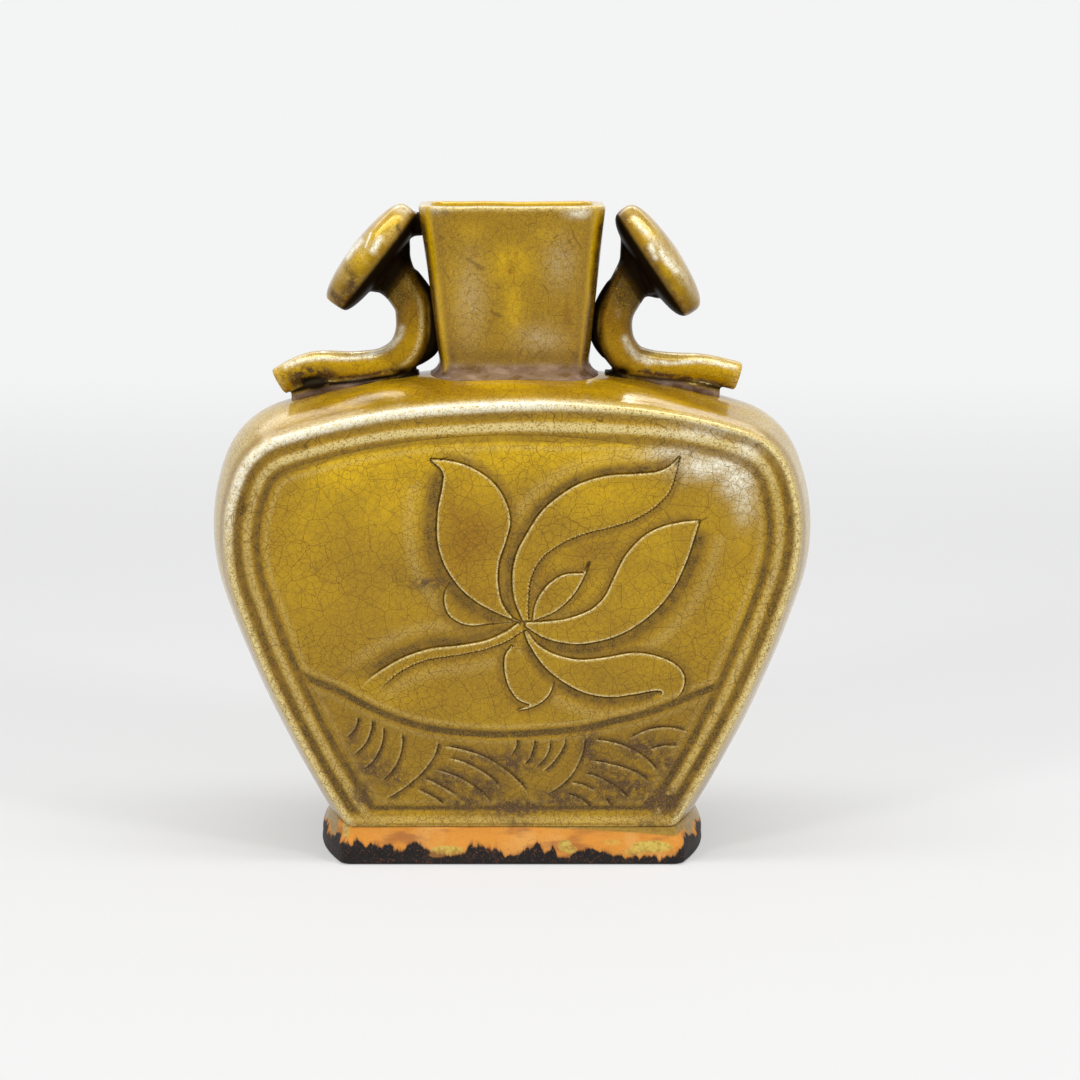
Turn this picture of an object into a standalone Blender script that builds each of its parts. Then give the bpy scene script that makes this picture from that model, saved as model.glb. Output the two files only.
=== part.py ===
"""Flattened flask vase in crackled honey glaze, with two mushroom handles and a carved lotus.

The vase is slab built. Two flat panels, two bowed side walls and a bowed shoulder slab stand on a
foot ring and close round a floor slab. A tapering neck passes through the shoulder, and each
handle is a rolled stem that lies on the shoulder, climbs along the neck and carries a domed cap.
Lengths are in metres, +Z is up, and the front panel faces -Y.
"""

import math
from collections import namedtuple

import bmesh
import bpy
from mathutils import Matrix, Vector

# Joints between neighbouring slabs, and how far a cutter reaches past what it cuts
SEAM = 0.0003
OVERRUN = 0.004

# Smoothness of the round stretches
ARC_TURN = math.radians(9)
ARC_LENGTH = 0.016
BAND_STEPS = 8
STEM_SIDES = 12
CAP_STEPS = 28
LUTING_SIDES = 16
CORNER_STEPS = 4
SIDE_STEPS = 6

# Outline of the body at mid depth: tangent arcs from the top of the shoulder down to the foot
BODY_TOP = 0.1649
CROWN_RADIUS = 0.263
CORNER_RADIUS = 0.0287
BELLY_RADIUS = 0.068
FLANK_RADIUS = 0.3855
CROWN_TURN = math.radians(17.5)
CORNER_TURN = math.radians(51.2)
BELLY_TURN = math.radians(39.4)

# Body slabs. The band between the two panels bows out from the panels' ridge lines.
BODY_DEPTH = 0.064
PANEL_THICKNESS = 0.0055
BAND_BULGE = 0.0075
BAND_WALL = 0.005
FLOOR_THICKNESS = 0.005
FLOOR_CORNER = 0.003

# Moulded frame of a panel: distances in from the ridge line, and drops below the ridge
RIDGE_INSET = 0.0012
GROOVE_INSET = 0.0037
BEAD_INSET = 0.0078
INNER_GROOVE_INSET = 0.0108
FIELD_INSET = 0.0142
GROOVE_DROP = 0.0013
BEAD_DROP = 0.0003
INNER_GROOVE_DROP = 0.0018
FIELD_DROP = 0.0009
INNER_GROOVE_OVER_FOOT = 0.0055

# Foot ring
FOOT_HEIGHT = 0.013
FOOT_DEPTH = 0.068
FOOT_FLARE = 0.0026
FOOT_WALL = 0.0125
FOOT_CORNER = 0.004
FOOT_BOTTOM_ROUND = 0.001

# Neck, at the crown of the shoulder and at the rim
RIM_HEIGHT = 0.220
RIM_HALF_WIDTH = 0.0314
RIM_HALF_DEPTH = 0.0165
RIM_CORNER = 0.0095
NECK_HALF_WIDTH = 0.0249
NECK_HALF_DEPTH = 0.013
NECK_CORNER = 0.0085
NECK_WALL = 0.0045
NECK_BOW = 0.0006
NECK_SEAT_DEPTH = 0.0065

# Coil of soft clay smoothed into the corner between neck and shoulder
COIL_WIDTH = 0.0026
COIL_HEIGHT = 0.003

# Handles
STEM_RADIUS = 0.0062
HANDLE_REACH = 0.054
HANDLE_RISE = 0.030
CAP_LENGTH = 0.0412
CAP_DEPTH = 0.030
CAP_THICKNESS = 0.0115
CAP_RIM = 0.0078
STEM_LEAD = 0.0035
LEFT_CAP_OUT = 0.0177
LEFT_CAP_UP = 0.042
LEFT_CAP_TILT = math.radians(51.5)
RIGHT_CAP_OUT = 0.0198
RIGHT_CAP_UP = 0.0411
RIGHT_CAP_TILT = math.radians(55.5)

# Mounds of clay pressed under the free end of each stem: middle, distance out from the neck
LUTING_DEPTH = 0.0105
LUTING_HEIGHT = 0.011
LEFT_LUTING_OUT = 0.0488
LEFT_LUTING_LENGTH = 0.009
RIGHT_LUTING_OUT = 0.0445
RIGHT_LUTING_LENGTH = 0.0135

# Carved lotus: where its leaves meet, the longest petal's reach, and how far the petals stand out
LOTUS_X = 0.0035
LOTUS_OVER_FOOT = 0.0697
LOTUS_REACH = 0.060
LOTUS_RELIEF = 0.0008
LOTUS_ROOT = 0.002

# Route of each stem from its free end to its cap: distance out from the neck as a share of
# HANDLE_REACH, height over the shoulder as a share of HANDLE_RISE, and the stem's own radius as a
# share of STEM_RADIUS
LEFT_ROUTE_SHARES = (
    (0.985, 0.24, 0.76),
    (0.93, 0.265, 0.77),
    (0.86, 0.295, 0.78),
    (0.77, 0.305, 0.79),
    (0.69, 0.28, 0.80),
    (0.60, 0.23, 0.82),
    (0.52, 0.19, 0.84),
    (0.39, 0.155, 0.89),
    (0.315, 0.155, 0.94),
    (0.237, 0.20, 0.98),
    (0.172, 0.29, 1.0),
    (0.124, 0.46, 1.0),
    (0.108, 0.65, 1.0),
    (0.112, 0.83, 1.04),
)
RIGHT_ROUTE_SHARES = (
    (0.94, 0.275, 0.77),
    (0.90, 0.275, 0.78),
    (0.83, 0.27, 0.78),
    (0.75, 0.26, 0.79),
    (0.67, 0.24, 0.80),
    (0.575, 0.20, 0.82),
    (0.47, 0.165, 0.86),
    (0.372, 0.15, 0.91),
    (0.276, 0.173, 0.95),
    (0.207, 0.267, 0.98),
    (0.163, 0.383, 1.0),
    (0.140, 0.537, 1.0),
    (0.139, 0.703, 1.0),
    (0.167, 0.873, 1.04),
)
STEM_FLARE_SHARES = (1.12, 1.3)
ROUTE_STEPS = 2

# Petals as shares of LOTUS_REACH from where the leaves meet: (across, up) along one edge to the
# tip, then along the other edge back
TALL_PETAL_SHARES = (
    (
        (-0.10, 0.06), (-0.27, 0.15), (-0.38, 0.26), (-0.45, 0.42), (-0.47, 0.59),
        (-0.44, 0.8), (-0.49, 0.92),
    ),
    (
        (-0.49, 0.92), (-0.40, 0.92), (-0.24, 0.86), (-0.12, 0.74), (-0.07, 0.59),
        (-0.14, 0.31), (-0.10, 0.06),
    ),
)
HIGH_PETAL_SHARES = (
    (
        (0.0, 0.07), (-0.05, 0.28), (0.02, 0.50), (0.18, 0.71), (0.37, 0.81),
        (0.57, 0.85), (0.74, 0.86), (0.86, 0.93),
    ),
    (
        (0.86, 0.93), (0.80, 0.75), (0.66, 0.62), (0.41, 0.53), (0.20, 0.45),
        (0.06, 0.30), (0.0, 0.07),
    ),
)
BROAD_PETAL_SHARES = (
    (
        (0.09, -0.01), (0.21, 0.03), (0.37, 0.08), (0.47, 0.19), (0.56, 0.38),
        (0.73, 0.53), (0.98, 0.58),
    ),
    (
        (0.98, 0.58), (0.93, 0.45), (0.87, 0.27), (0.75, 0.10), (0.58, -0.04),
        (0.38, -0.10), (0.09, -0.01),
    ),
)
LOW_PETAL_SHARES = (
    (
        (0.06, -0.09), (0.17, -0.165), (0.34, -0.20), (0.59, -0.16), (0.78, -0.19),
        (0.88, -0.25), (0.90, -0.36),
    ),
    (
        (0.90, -0.36), (0.84, -0.43), (0.72, -0.38), (0.51, -0.41), (0.34, -0.38),
        (0.19, -0.29), (0.06, -0.09),
    ),
)
BUD_SHARES = (
    (
        (0.10, 0.07), (0.11, 0.17), (0.17, 0.25), (0.37, 0.35),
    ),
    (
        (0.37, 0.35), (0.32, 0.24), (0.24, 0.13), (0.10, 0.07),
    ),
)
TUCKED_PETAL_SHARES = (
    (
        (-0.25, 0.08), (-0.36, 0.18), (-0.41, 0.22),
    ),
    (
        (-0.41, 0.22), (-0.42, 0.10), (-0.34, 0.02), (-0.20, 0.01), (-0.25, 0.08),
    ),
)
HANGING_PETAL_SHARES = (
    (
        (-0.02, -0.13), (-0.10, -0.21), (-0.07, -0.36), (0.0, -0.45), (0.08, -0.46),
        (0.16, -0.34),
    ),
    (
        (0.16, -0.34), (0.10, -0.26), (-0.02, -0.13),
    ),
)
LEAF_SHARES = (
    (
        (-0.04, -0.03), (-0.20, -0.09), (-0.56, -0.15), (-0.76, -0.24), (-0.91, -0.38),
    ),
    (
        (-0.91, -0.38), (-0.83, -0.40), (-0.72, -0.295), (-0.56, -0.21), (-0.24, -0.14),
        (-0.04, -0.03),
    ),
)
LOTUS_SHARES = (
    TALL_PETAL_SHARES,
    HIGH_PETAL_SHARES,
    BROAD_PETAL_SHARES,
    LOW_PETAL_SHARES,
    BUD_SHARES,
    TUCKED_PETAL_SHARES,
    HANGING_PETAL_SHARES,
    LEAF_SHARES,
)

# Profiles as shares: the panel's outer edge (of flange, of thickness), the neck's rim and the
# foot's outer side (of the wall or flare, of the height), the coil (of width, of height) and the
# cap (of its half length, of its rim)
PANEL_EDGE_SHARES = ((0.52, 0.5), (0.15, 0.17))
RIM_SHARES = ((0, 0.33), (0.1, 0.09), (0.31, 0), (0.69, 0), (0.9, 0.09), (1, 0.33))
FOOT_SIDE_SHARES = ((0, 0.1), (0.04, 0.4), (0.45, 0.85), (0.7, 0.96), (1, 1))
FOOT_DEPTH_FLARE_SHARE = 0.4
COIL_SHARES = ((0, 1), (0.27, 0.5), (0.6, 0.25), (1, 0.17))
CAP_RIM_SHARES = ((0.86, 0), (0.95, 0.16), (1, 0.5), (0.965, 0.83))
CAP_DOME_SHARES = ((0.86, 0.2), (0.62, 0.62), (0.34, 0.9))

HONEY_GLAZE = (0.42, 0.27, 0.045)
OLIVE_GLAZE = (0.36, 0.26, 0.06)
BROWN_GLAZE = (0.20, 0.11, 0.03)
BARE_CLAY = (0.50, 0.21, 0.07)
GLAZE_ROUGHNESS = 0.12
CLAY_ROUGHNESS = 0.75

Handle = namedtuple("Handle", "hand side route_shares cap_out cap_up cap_tilt luting_out luting_length")
LEFT_HANDLE = Handle(
    "left",
    -1,
    LEFT_ROUTE_SHARES,
    LEFT_CAP_OUT,
    LEFT_CAP_UP,
    LEFT_CAP_TILT,
    LEFT_LUTING_OUT,
    LEFT_LUTING_LENGTH,
)
RIGHT_HANDLE = Handle(
    "right",
    1,
    RIGHT_ROUTE_SHARES,
    RIGHT_CAP_OUT,
    RIGHT_CAP_UP,
    RIGHT_CAP_TILT,
    RIGHT_LUTING_OUT,
    RIGHT_LUTING_LENGTH,
)

HALF_DEPTH = BODY_DEPTH / 2
FOOT_SEAT = FOOT_HEIGHT + SEAM
NECK_TAPER = (RIM_HALF_WIDTH - NECK_HALF_WIDTH) / (RIM_HEIGHT - BODY_TOP)


def clear_scene():
    """Removes whatever the file held before."""
    for obj in list(bpy.data.objects):
        bpy.data.objects.remove(obj, do_unlink=True)


def new_collection(name):
    collection = bpy.data.collections.new(name)
    bpy.context.scene.collection.children.link(collection)
    return collection


def new_material(name, colour, roughness):
    material = bpy.data.materials.new(name)
    material.use_nodes = True
    shader = material.node_tree.nodes["Principled BSDF"]
    shader.inputs["Base Color"].default_value = (*colour, 1)
    shader.inputs["Roughness"].default_value = roughness
    shader.inputs["Metallic"].default_value = 0
    return material


def new_object(name, mesh, collection, material=None):
    obj = bpy.data.objects.new(name, mesh)
    collection.objects.link(obj)
    if material:
        mesh.materials.append(material)
    return obj


def mesh_from(bm, name, smooth_under=math.radians(35)):
    """Ends a bmesh as a mesh whose faces point outwards."""
    bmesh.ops.recalc_face_normals(bm, faces=bm.faces)
    mesh = bpy.data.meshes.new(name)
    bm.to_mesh(mesh)
    bm.free()
    mesh.shade_smooth()
    mesh.set_sharp_from_angle(angle=smooth_under)
    return mesh


def new_cutter(name, bm, cutters):
    cutter = new_object(name, mesh_from(bm, name), cutters)
    cutter.hide_render = True
    cutter.display_type = "WIRE"
    return cutter


def combine(obj, cutter, operation="DIFFERENCE"):
    modifier = obj.modifiers.new(cutter.name, "BOOLEAN")
    modifier.operation = operation
    modifier.solver = "EXACT"
    modifier.object = cutter


def mirror_across_x(obj):
    modifier = obj.modifiers.new("mirror", "MIRROR")
    modifier.use_clip = True
    modifier.merge_threshold = SEAM / 10


def outline_arcs(inset, bottom):
    """Right half of the outline moved in by inset and ending at height bottom.

    Each arc is (centre x, centre z, radius, start angle, end angle), with angles from +Z to +X.
    """
    radii = (CROWN_RADIUS, CORNER_RADIUS, BELLY_RADIUS, FLANK_RADIUS)
    turns = (CROWN_TURN, CORNER_TURN, BELLY_TURN)
    centre_x, centre_z, angle = 0, BODY_TOP - CROWN_RADIUS, 0
    arcs = []
    for radius, following, turn in zip(radii, radii[1:], turns):
        arcs.append((centre_x, centre_z, radius - inset, angle, angle + turn))
        angle += turn
        centre_x += (radius - following) * math.sin(angle)
        centre_z += (radius - following) * math.cos(angle)
    flank = FLANK_RADIUS - inset
    arcs.append((centre_x, centre_z, flank, angle, math.acos((bottom - centre_z) / flank)))
    return arcs


def arc_steps(radius, start, end):
    turn = end - start
    return math.ceil(max(turn / ARC_TURN, radius * turn / ARC_LENGTH))


def flank_x(height, inset):
    """Half width of the body low on its flank, on the outline moved in by inset."""
    centre_x, _, radius, _, angle = outline_arcs(inset, height)[-1]
    return centre_x + radius * math.sin(angle)


def band_bow(depth):
    """How far the band stands out from the ridge line, at a depth from the mid plane."""
    return BAND_BULGE * (1 - (depth / HALF_DEPTH) ** 2)


def shoulder_z(x, depth=0):
    """Height of the shoulder's upper face."""
    inset = BAND_BULGE - band_bow(depth)
    crown, corner = outline_arcs(inset, FOOT_HEIGHT)[:2]
    on_crown = abs(x) <= crown[2] * math.sin(crown[4])
    centre_x, centre_z, radius = (crown if on_crown else corner)[:3]
    return centre_z + math.sqrt(radius**2 - (abs(x) - centre_x) ** 2)


def band_section(outer, inner):
    """Section of the bowed band: (depth, offset from the ridge line), out along one face and back."""
    half = HALF_DEPTH - PANEL_THICKNESS - SEAM
    depths = [half * (2 * i / BAND_STEPS - 1) for i in range(BAND_STEPS + 1)]
    outside = [(depth, band_bow(depth) + outer) for depth in depths]
    inside = [(depth, band_bow(depth) - inner) for depth in reversed(depths)]
    return outside + inside


def sweep_band(bm, section, arcs):
    """Spins the section about each arc's centre in turn, leaving both ends open."""
    centre_x, centre_z, radius, start, _ = arcs[0]
    across = Vector((math.sin(start), 0, math.cos(start)))
    centre = Vector((centre_x, 0, centre_z))
    verts = [bm.verts.new(centre + across * (radius + n) + Vector((0, y, 0))) for y, n in section]
    edges = [bm.edges.new(pair) for pair in zip(verts, verts[1:] + verts[:1])]
    geometry = verts + edges
    for centre_x, centre_z, radius, start, end in arcs:
        spun = bmesh.ops.spin(
            bm,
            geom=geometry,
            cent=(centre_x, 0, centre_z),
            axis=(0, 1, 0),
            angle=end - start,
            steps=arc_steps(radius, start, end),
        )
        geometry = [item for item in spun["geom_last"] if not isinstance(item, bmesh.types.BMFace)]


def close_ends(bm, keep=lambda edge: True):
    """Fills the open loops that keep accepts."""
    edges = [edge for edge in bm.edges if edge.is_boundary and keep(edge)]
    bmesh.ops.holes_fill(bm, edges=edges, sides=0)


def trim_at_foot(bm):
    """Cuts everything off level with the foot ring's seat and closes the cut."""
    geometry = bm.verts[:] + bm.edges[:] + bm.faces[:]
    seat = (0, 0, FOOT_SEAT)
    bmesh.ops.bisect_plane(bm, geom=geometry, plane_co=seat, plane_no=(0, 0, 1), clear_inner=True)
    close_ends(bm)


def panel_profile():
    """The panel's face from its inner edge to its field: (inset from the ridge line, drop)."""
    flange = band_bow(HALF_DEPTH - PANEL_THICKNESS)
    edge = [(-flange * out, PANEL_THICKNESS * drop) for out, drop in PANEL_EDGE_SHARES]
    marks = [
        (RIDGE_INSET, 0),
        (GROOVE_INSET, GROOVE_DROP),
        (BEAD_INSET, BEAD_DROP),
        (INNER_GROOVE_INSET, INNER_GROOVE_DROP),
        (FIELD_INSET, FIELD_DROP),
    ]
    profile = edge + marks[:1]
    for (inset, drop), (next_inset, next_drop) in zip(marks, marks[1:]):
        shallow = min(drop, next_drop)
        halfway = shallow + abs(next_drop - drop) / 3
        profile += [((inset + next_inset) / 2, halfway), (next_inset, next_drop)]
    return flange, profile


def build_panel_mesh():
    """A slab with a moulded frame: its outline is inset again and again, a level at a time."""
    flange, profile = panel_profile()
    bottom = FOOT_HEIGHT + INNER_GROOVE_OVER_FOOT - INNER_GROOVE_INSET - flange
    right = []
    for centre_x, centre_z, radius, start, end in outline_arcs(BAND_BULGE - flange, bottom):
        steps = arc_steps(radius, start, end)
        for i in range(steps):
            angle = start + (end - start) * i / steps
            right.append((centre_x + radius * math.sin(angle), centre_z + radius * math.cos(angle)))
    right.append((centre_x + radius * math.sin(end), centre_z + radius * math.cos(end)))
    left = [(-x, z) for x, z in reversed(right[1:])]
    bm = bmesh.new()
    verts = [bm.verts.new((x, PANEL_THICKNESS - HALF_DEPTH, z)) for x, z in right + left]
    face = bm.faces.new(verts)
    back = bmesh.ops.duplicate(bm, geom=[face])["geom"]
    done = -flange
    for inset, drop in profile:
        thickness = inset - done
        bmesh.ops.inset_region(
            bm, faces=[face], thickness=thickness, use_even_offset=True, use_boundary=True
        )
        for vert in face.verts:
            vert.co.y = drop - HALF_DEPTH
        done = inset
    bmesh.ops.reverse_faces(bm, faces=[item for item in back if isinstance(item, bmesh.types.BMFace)])
    bmesh.ops.remove_doubles(bm, verts=bm.verts, dist=SEAM / 10)
    trim_at_foot(bm)
    return mesh_from(bm, "panel")


def lotus_relief():
    """The petals as low blocks that stand out of the panel's field."""
    field = FIELD_DROP - HALF_DEPTH
    knot = Vector((LOTUS_X, 0, FOOT_HEIGHT + LOTUS_OVER_FOOT))
    bm = bmesh.new()
    for edges in LOTUS_SHARES:
        outline = []
        for edge in edges:
            outline += smooth_route([Vector(share) for share in edge], ROUTE_STEPS)[:-1]
        places = [knot + Vector((p.x, 0, p.y)) * LOTUS_REACH + Vector((0, field, 0)) for p in outline]
        verts = [bm.verts.new(place + Vector((0, LOTUS_ROOT, 0))) for place in places]
        petal = bmesh.ops.extrude_face_region(bm, geom=[bm.faces.new(verts)])["geom"]
        raised = [item for item in petal if isinstance(item, bmesh.types.BMVert)]
        bmesh.ops.translate(bm, vec=(0, -LOTUS_ROOT - LOTUS_RELIEF, 0), verts=raised)
    return bm


def build_panels(vase, cutters, glaze):
    """The carved front panel, and the same panel turned round for the back."""
    mesh = build_panel_mesh()
    mesh.materials.append(glaze)
    for name, turn in (("front_panel", 0), ("back_panel", math.pi)):
        panel = new_object(name, mesh, vase)
        lotus = new_cutter(f"lotus_on_{name}", lotus_relief(), cutters)
        panel.rotation_euler.z = turn
        lotus.rotation_euler.z = turn
        combine(panel, lotus, "UNION")


def build_side_walls(vase, glaze):
    """The bowed slabs down each side, from under the shoulder to the foot."""
    ridge = outline_arcs(BAND_BULGE, FOOT_HEIGHT - OVERRUN)[2:]
    centre_x, centre_z, radius, start, end = ridge[0]
    first = (centre_x, centre_z, radius, start + SEAM / 2 / radius, end)
    for name, side in (("side_wall_right", 1), ("side_wall_left", -1)):
        bm = bmesh.new()
        sweep_band(bm, band_section(0, BAND_WALL), [first, *ridge[1:]])
        close_ends(bm)
        trim_at_foot(bm)
        bmesh.ops.scale(bm, vec=(side, 1, 1), verts=bm.verts)
        new_object(name, mesh_from(bm, name), vase, glaze)


def half_shoulder(outer, inner):
    """Right half of the shoulder slab, open at the middle of the vase."""
    crown, corner = outline_arcs(BAND_BULGE, FOOT_HEIGHT)[:2]
    centre_x, centre_z, radius, start, end = corner
    last = (centre_x, centre_z, radius, start, end - SEAM / 2 / radius)
    bm = bmesh.new()
    sweep_band(bm, band_section(outer, inner), [crown, last])
    close_ends(bm, keep=lambda edge: max(abs(vert.co.x) for vert in edge.verts) > SEAM)
    return bm


def build_shoulder(vase, glaze, neck_clearance):
    """The bowed slab over the top, with the hole that the neck passes through."""
    mesh = mesh_from(half_shoulder(0, BAND_WALL), "shoulder")
    shoulder = new_object("shoulder", mesh, vase, glaze)
    mirror_across_x(shoulder)
    combine(shoulder, neck_clearance)


def build_shoulder_clearance(cutters):
    """What the stems may not enter: the shoulder, grown by a seam and made deep."""
    clearance = new_cutter("shoulder_clearance", half_shoulder(SEAM, BAND_WALL + OVERRUN), cutters)
    mirror_across_x(clearance)
    return clearance


def plan_ring(half_width, half_depth, corner, bow, end_bow, height):
    """Level outline: a rectangle with round corners, whose long sides and ends bow out."""
    points = []
    for quarter in range(4):
        side_x = (1, -1, -1, 1)[quarter]
        side_y = (1, 1, -1, -1)[quarter]
        start = quarter * math.pi / 2
        for i in range(CORNER_STEPS + 1):
            angle = start + i * math.pi / 2 / CORNER_STEPS
            x = side_x * (half_width - corner) + corner * math.cos(angle)
            y = side_y * (half_depth - corner) + corner * math.sin(angle)
            points.append((x, y))
        along_side = quarter % 2 == 0
        last_x, last_y = points[-1]
        for i in range(1, SIDE_STEPS):
            share = 1 - 2 * i / SIDE_STEPS
            points.append((last_x * share, last_y) if along_side else (last_x, last_y * share))
    bowed = []
    for x, y in points:
        out = end_bow * (1 - (y / half_depth) ** 2) * x / half_width
        forward = bow * (1 - (x / half_width) ** 2) * y / half_depth
        bowed.append(Vector((x + out, y + forward, height)))
    return bowed


def loft(bm, rings, closed):
    """Joins level rings of equally many points, and closes the loft on itself or caps its ends."""
    loops = [[bm.verts.new(point) for point in ring] for ring in rings]
    pairs = list(zip(loops, loops[1:])) + ([(loops[-1], loops[0])] if closed else [])
    for first, second in pairs:
        for i, vert in enumerate(first):
            bm.faces.new((first[i - 1], vert, second[i], second[i - 1]))
    if not closed:
        bm.faces.new(loops[0])
        bm.faces.new(loops[-1])


def foot_ring(height, inset, depth_inset):
    """Outline of the foot ring, which follows the bow of the band above it."""
    corner_x = flank_x(FOOT_HEIGHT, BAND_BULGE) + FOOT_FLARE - inset
    middle_x = flank_x(FOOT_HEIGHT, 0) + FOOT_FLARE - inset
    half_depth = FOOT_DEPTH / 2 - depth_inset
    return plan_ring(corner_x, half_depth, FOOT_CORNER, 0, middle_x - corner_x, height)


def build_foot(vase, clay):
    """The ring that the vase stands on, bare below the glaze and hollow underneath."""
    rings = [foot_ring(0, FOOT_BOTTOM_ROUND, FOOT_BOTTOM_ROUND)]
    for inset, height in FOOT_SIDE_SHARES:
        depth_inset = FOOT_FLARE * inset * FOOT_DEPTH_FLARE_SHARE
        rings.append(foot_ring(FOOT_HEIGHT * height, FOOT_FLARE * inset, depth_inset))
    rings.append(foot_ring(FOOT_HEIGHT, FOOT_WALL, FOOT_WALL))
    rings.append(foot_ring(0, FOOT_WALL, FOOT_WALL))
    bm = bmesh.new()
    loft(bm, rings, closed=True)
    new_object("foot", mesh_from(bm, "foot"), vase, clay)


def build_floor(vase, glaze):
    """The slab that closes the body, standing on the foot ring's inner ledge."""
    half_depth = HALF_DEPTH - PANEL_THICKNESS - SEAM
    rings = []
    for height in (FOOT_SEAT, FOOT_SEAT + FLOOR_THICKNESS):
        corner_x = flank_x(height, BAND_BULGE - band_bow(half_depth) + BAND_WALL) - 2 * SEAM
        middle_x = flank_x(height, BAND_WALL) - 2 * SEAM
        rings.append(plan_ring(corner_x, half_depth, FLOOR_CORNER, 0, middle_x - corner_x, height))
    bm = bmesh.new()
    loft(bm, rings, closed=False)
    new_object("floor", mesh_from(bm, "floor"), vase, glaze)


def neck_ring(height, grow):
    """Level outline of the neck's outer face, moved out by grow."""
    share = (height - BODY_TOP) / (RIM_HEIGHT - BODY_TOP)
    half_width = NECK_HALF_WIDTH + (RIM_HALF_WIDTH - NECK_HALF_WIDTH) * share + grow
    half_depth = NECK_HALF_DEPTH + (RIM_HALF_DEPTH - NECK_HALF_DEPTH) * share + grow
    corner = NECK_CORNER + (RIM_CORNER - NECK_CORNER) * share + grow
    return plan_ring(half_width - NECK_BOW, half_depth - NECK_BOW, corner, NECK_BOW, NECK_BOW, height)


def build_neck(vase, glaze):
    """The tapering neck, round at the rim and let through the shoulder."""
    bottom = BODY_TOP - NECK_SEAT_DEPTH
    rings = [neck_ring(bottom, 0)]
    for inwards, below in RIM_SHARES:
        rings.append(neck_ring(RIM_HEIGHT - NECK_WALL * below, -NECK_WALL * inwards))
    rings.append(neck_ring(bottom, -NECK_WALL))
    bm = bmesh.new()
    loft(bm, rings, closed=True)
    new_object("neck", mesh_from(bm, "neck"), vase, glaze)


def build_neck_clearance(cutters):
    """What the shoulder and the stems may not enter: the neck, grown by a seam."""
    bottom = BODY_TOP - NECK_SEAT_DEPTH - OVERRUN
    rings = [neck_ring(bottom, SEAM), neck_ring(RIM_HEIGHT + OVERRUN, SEAM)]
    bm = bmesh.new()
    loft(bm, rings, closed=False)
    return new_cutter("neck_clearance", bm, cutters)


def build_neck_coil(vase, glaze):
    """The coil of clay in the corner round the neck, lying on the curve of the shoulder."""
    profile = [(SEAM + COIL_WIDTH * out, COIL_HEIGHT * up) for out, up in COIL_SHARES]
    profile += [(SEAM + COIL_WIDTH, SEAM), (SEAM, SEAM)]
    rings = []
    for out, up in profile:
        ring = neck_ring(BODY_TOP + up, out)
        rings.append([Vector((p.x, p.y, shoulder_z(p.x, p.y) + up)) for p in ring])
    bm = bmesh.new()
    loft(bm, rings, closed=True)
    new_object("neck_luting_coil", mesh_from(bm, "neck_luting_coil"), vase, glaze)


def handle_point(side, out, up):
    """Point beside the neck: out from its tapering end face, and up from the shoulder there."""
    x = NECK_HALF_WIDTH + NECK_TAPER * up + out
    return Vector((side * x, 0, shoulder_z(x) + up))


def cap_frame(handle):
    """Where a cap sits and the way its dome faces."""
    tilt = handle.cap_tilt
    facing = Vector((handle.side * math.sin(tilt), 0, math.cos(tilt)))
    return handle_point(handle.side, handle.cap_out, handle.cap_up), facing


def smooth_route(points, steps):
    """Catmull-Rom points through the given ones, each (x, y, z, radius)."""
    padded = [2 * points[0] - points[1], *points, 2 * points[-1] - points[-2]]
    route = []
    for a, b, c, d in zip(padded, padded[1:], padded[2:], padded[3:]):
        for i in range(steps):
            t = i / steps
            curve = 2 * b + (c - a) * t + (2 * a - 5 * b + 4 * c - d) * t**2
            route.append((curve + (3 * b - a - 3 * c + d) * t**3) / 2)
    return [*route, points[-1]]


def stem_route(handle):
    """The stem's points and radii, ending square to the underside of its cap."""
    centre, facing = cap_frame(handle)
    points = []
    for out, up, thick in handle.route_shares:
        place = handle_point(handle.side, HANDLE_REACH * out, HANDLE_RISE * up)
        points.append(Vector((*place, STEM_RADIUS * thick)))
    end = centre - facing * (CAP_THICKNESS / 2 + SEAM)
    before, last = (STEM_RADIUS * share for share in STEM_FLARE_SHARES)
    points.append(Vector((*(end - facing * STEM_LEAD), before)))
    return [*smooth_route(points, ROUTE_STEPS), Vector((*end, last))]


def tube_mesh(name, route, grow):
    """A POLY curve with a round bevel that follows the route, made a closed mesh."""
    curve = bpy.data.curves.new(name, "CURVE")
    curve.dimensions = "3D"
    curve.bevel_depth = 1
    curve.bevel_resolution = STEM_SIDES // 4 - 1
    curve.use_fill_caps = True
    spline = curve.splines.new("POLY")
    spline.points.add(len(route) - 1)
    for point, place in zip(spline.points, route):
        point.co = (*place[:3], 1)
        point.radius = place.w + grow
    guide = bpy.data.objects.new(name, curve)
    bpy.context.scene.collection.objects.link(guide)
    bpy.context.view_layer.update()
    graph = bpy.context.evaluated_depsgraph_get()
    drawn = bpy.data.meshes.new_from_object(guide.evaluated_get(graph))
    bm = bmesh.new()
    bm.from_mesh(drawn)
    bmesh.ops.remove_doubles(bm, verts=bm.verts, dist=SEAM / 10)
    bpy.data.objects.remove(guide, do_unlink=True)
    bpy.data.curves.remove(curve)
    bpy.data.meshes.remove(drawn)
    return bm


def build_stem(name, vase, glaze, route, clearances):
    """A rolled stem, cut where it is pressed on to the shoulder and against the neck."""
    stem = new_object(name, mesh_from(tube_mesh(name, route, 0), name), vase, glaze)
    for clearance in clearances:
        combine(stem, clearance)


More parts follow.
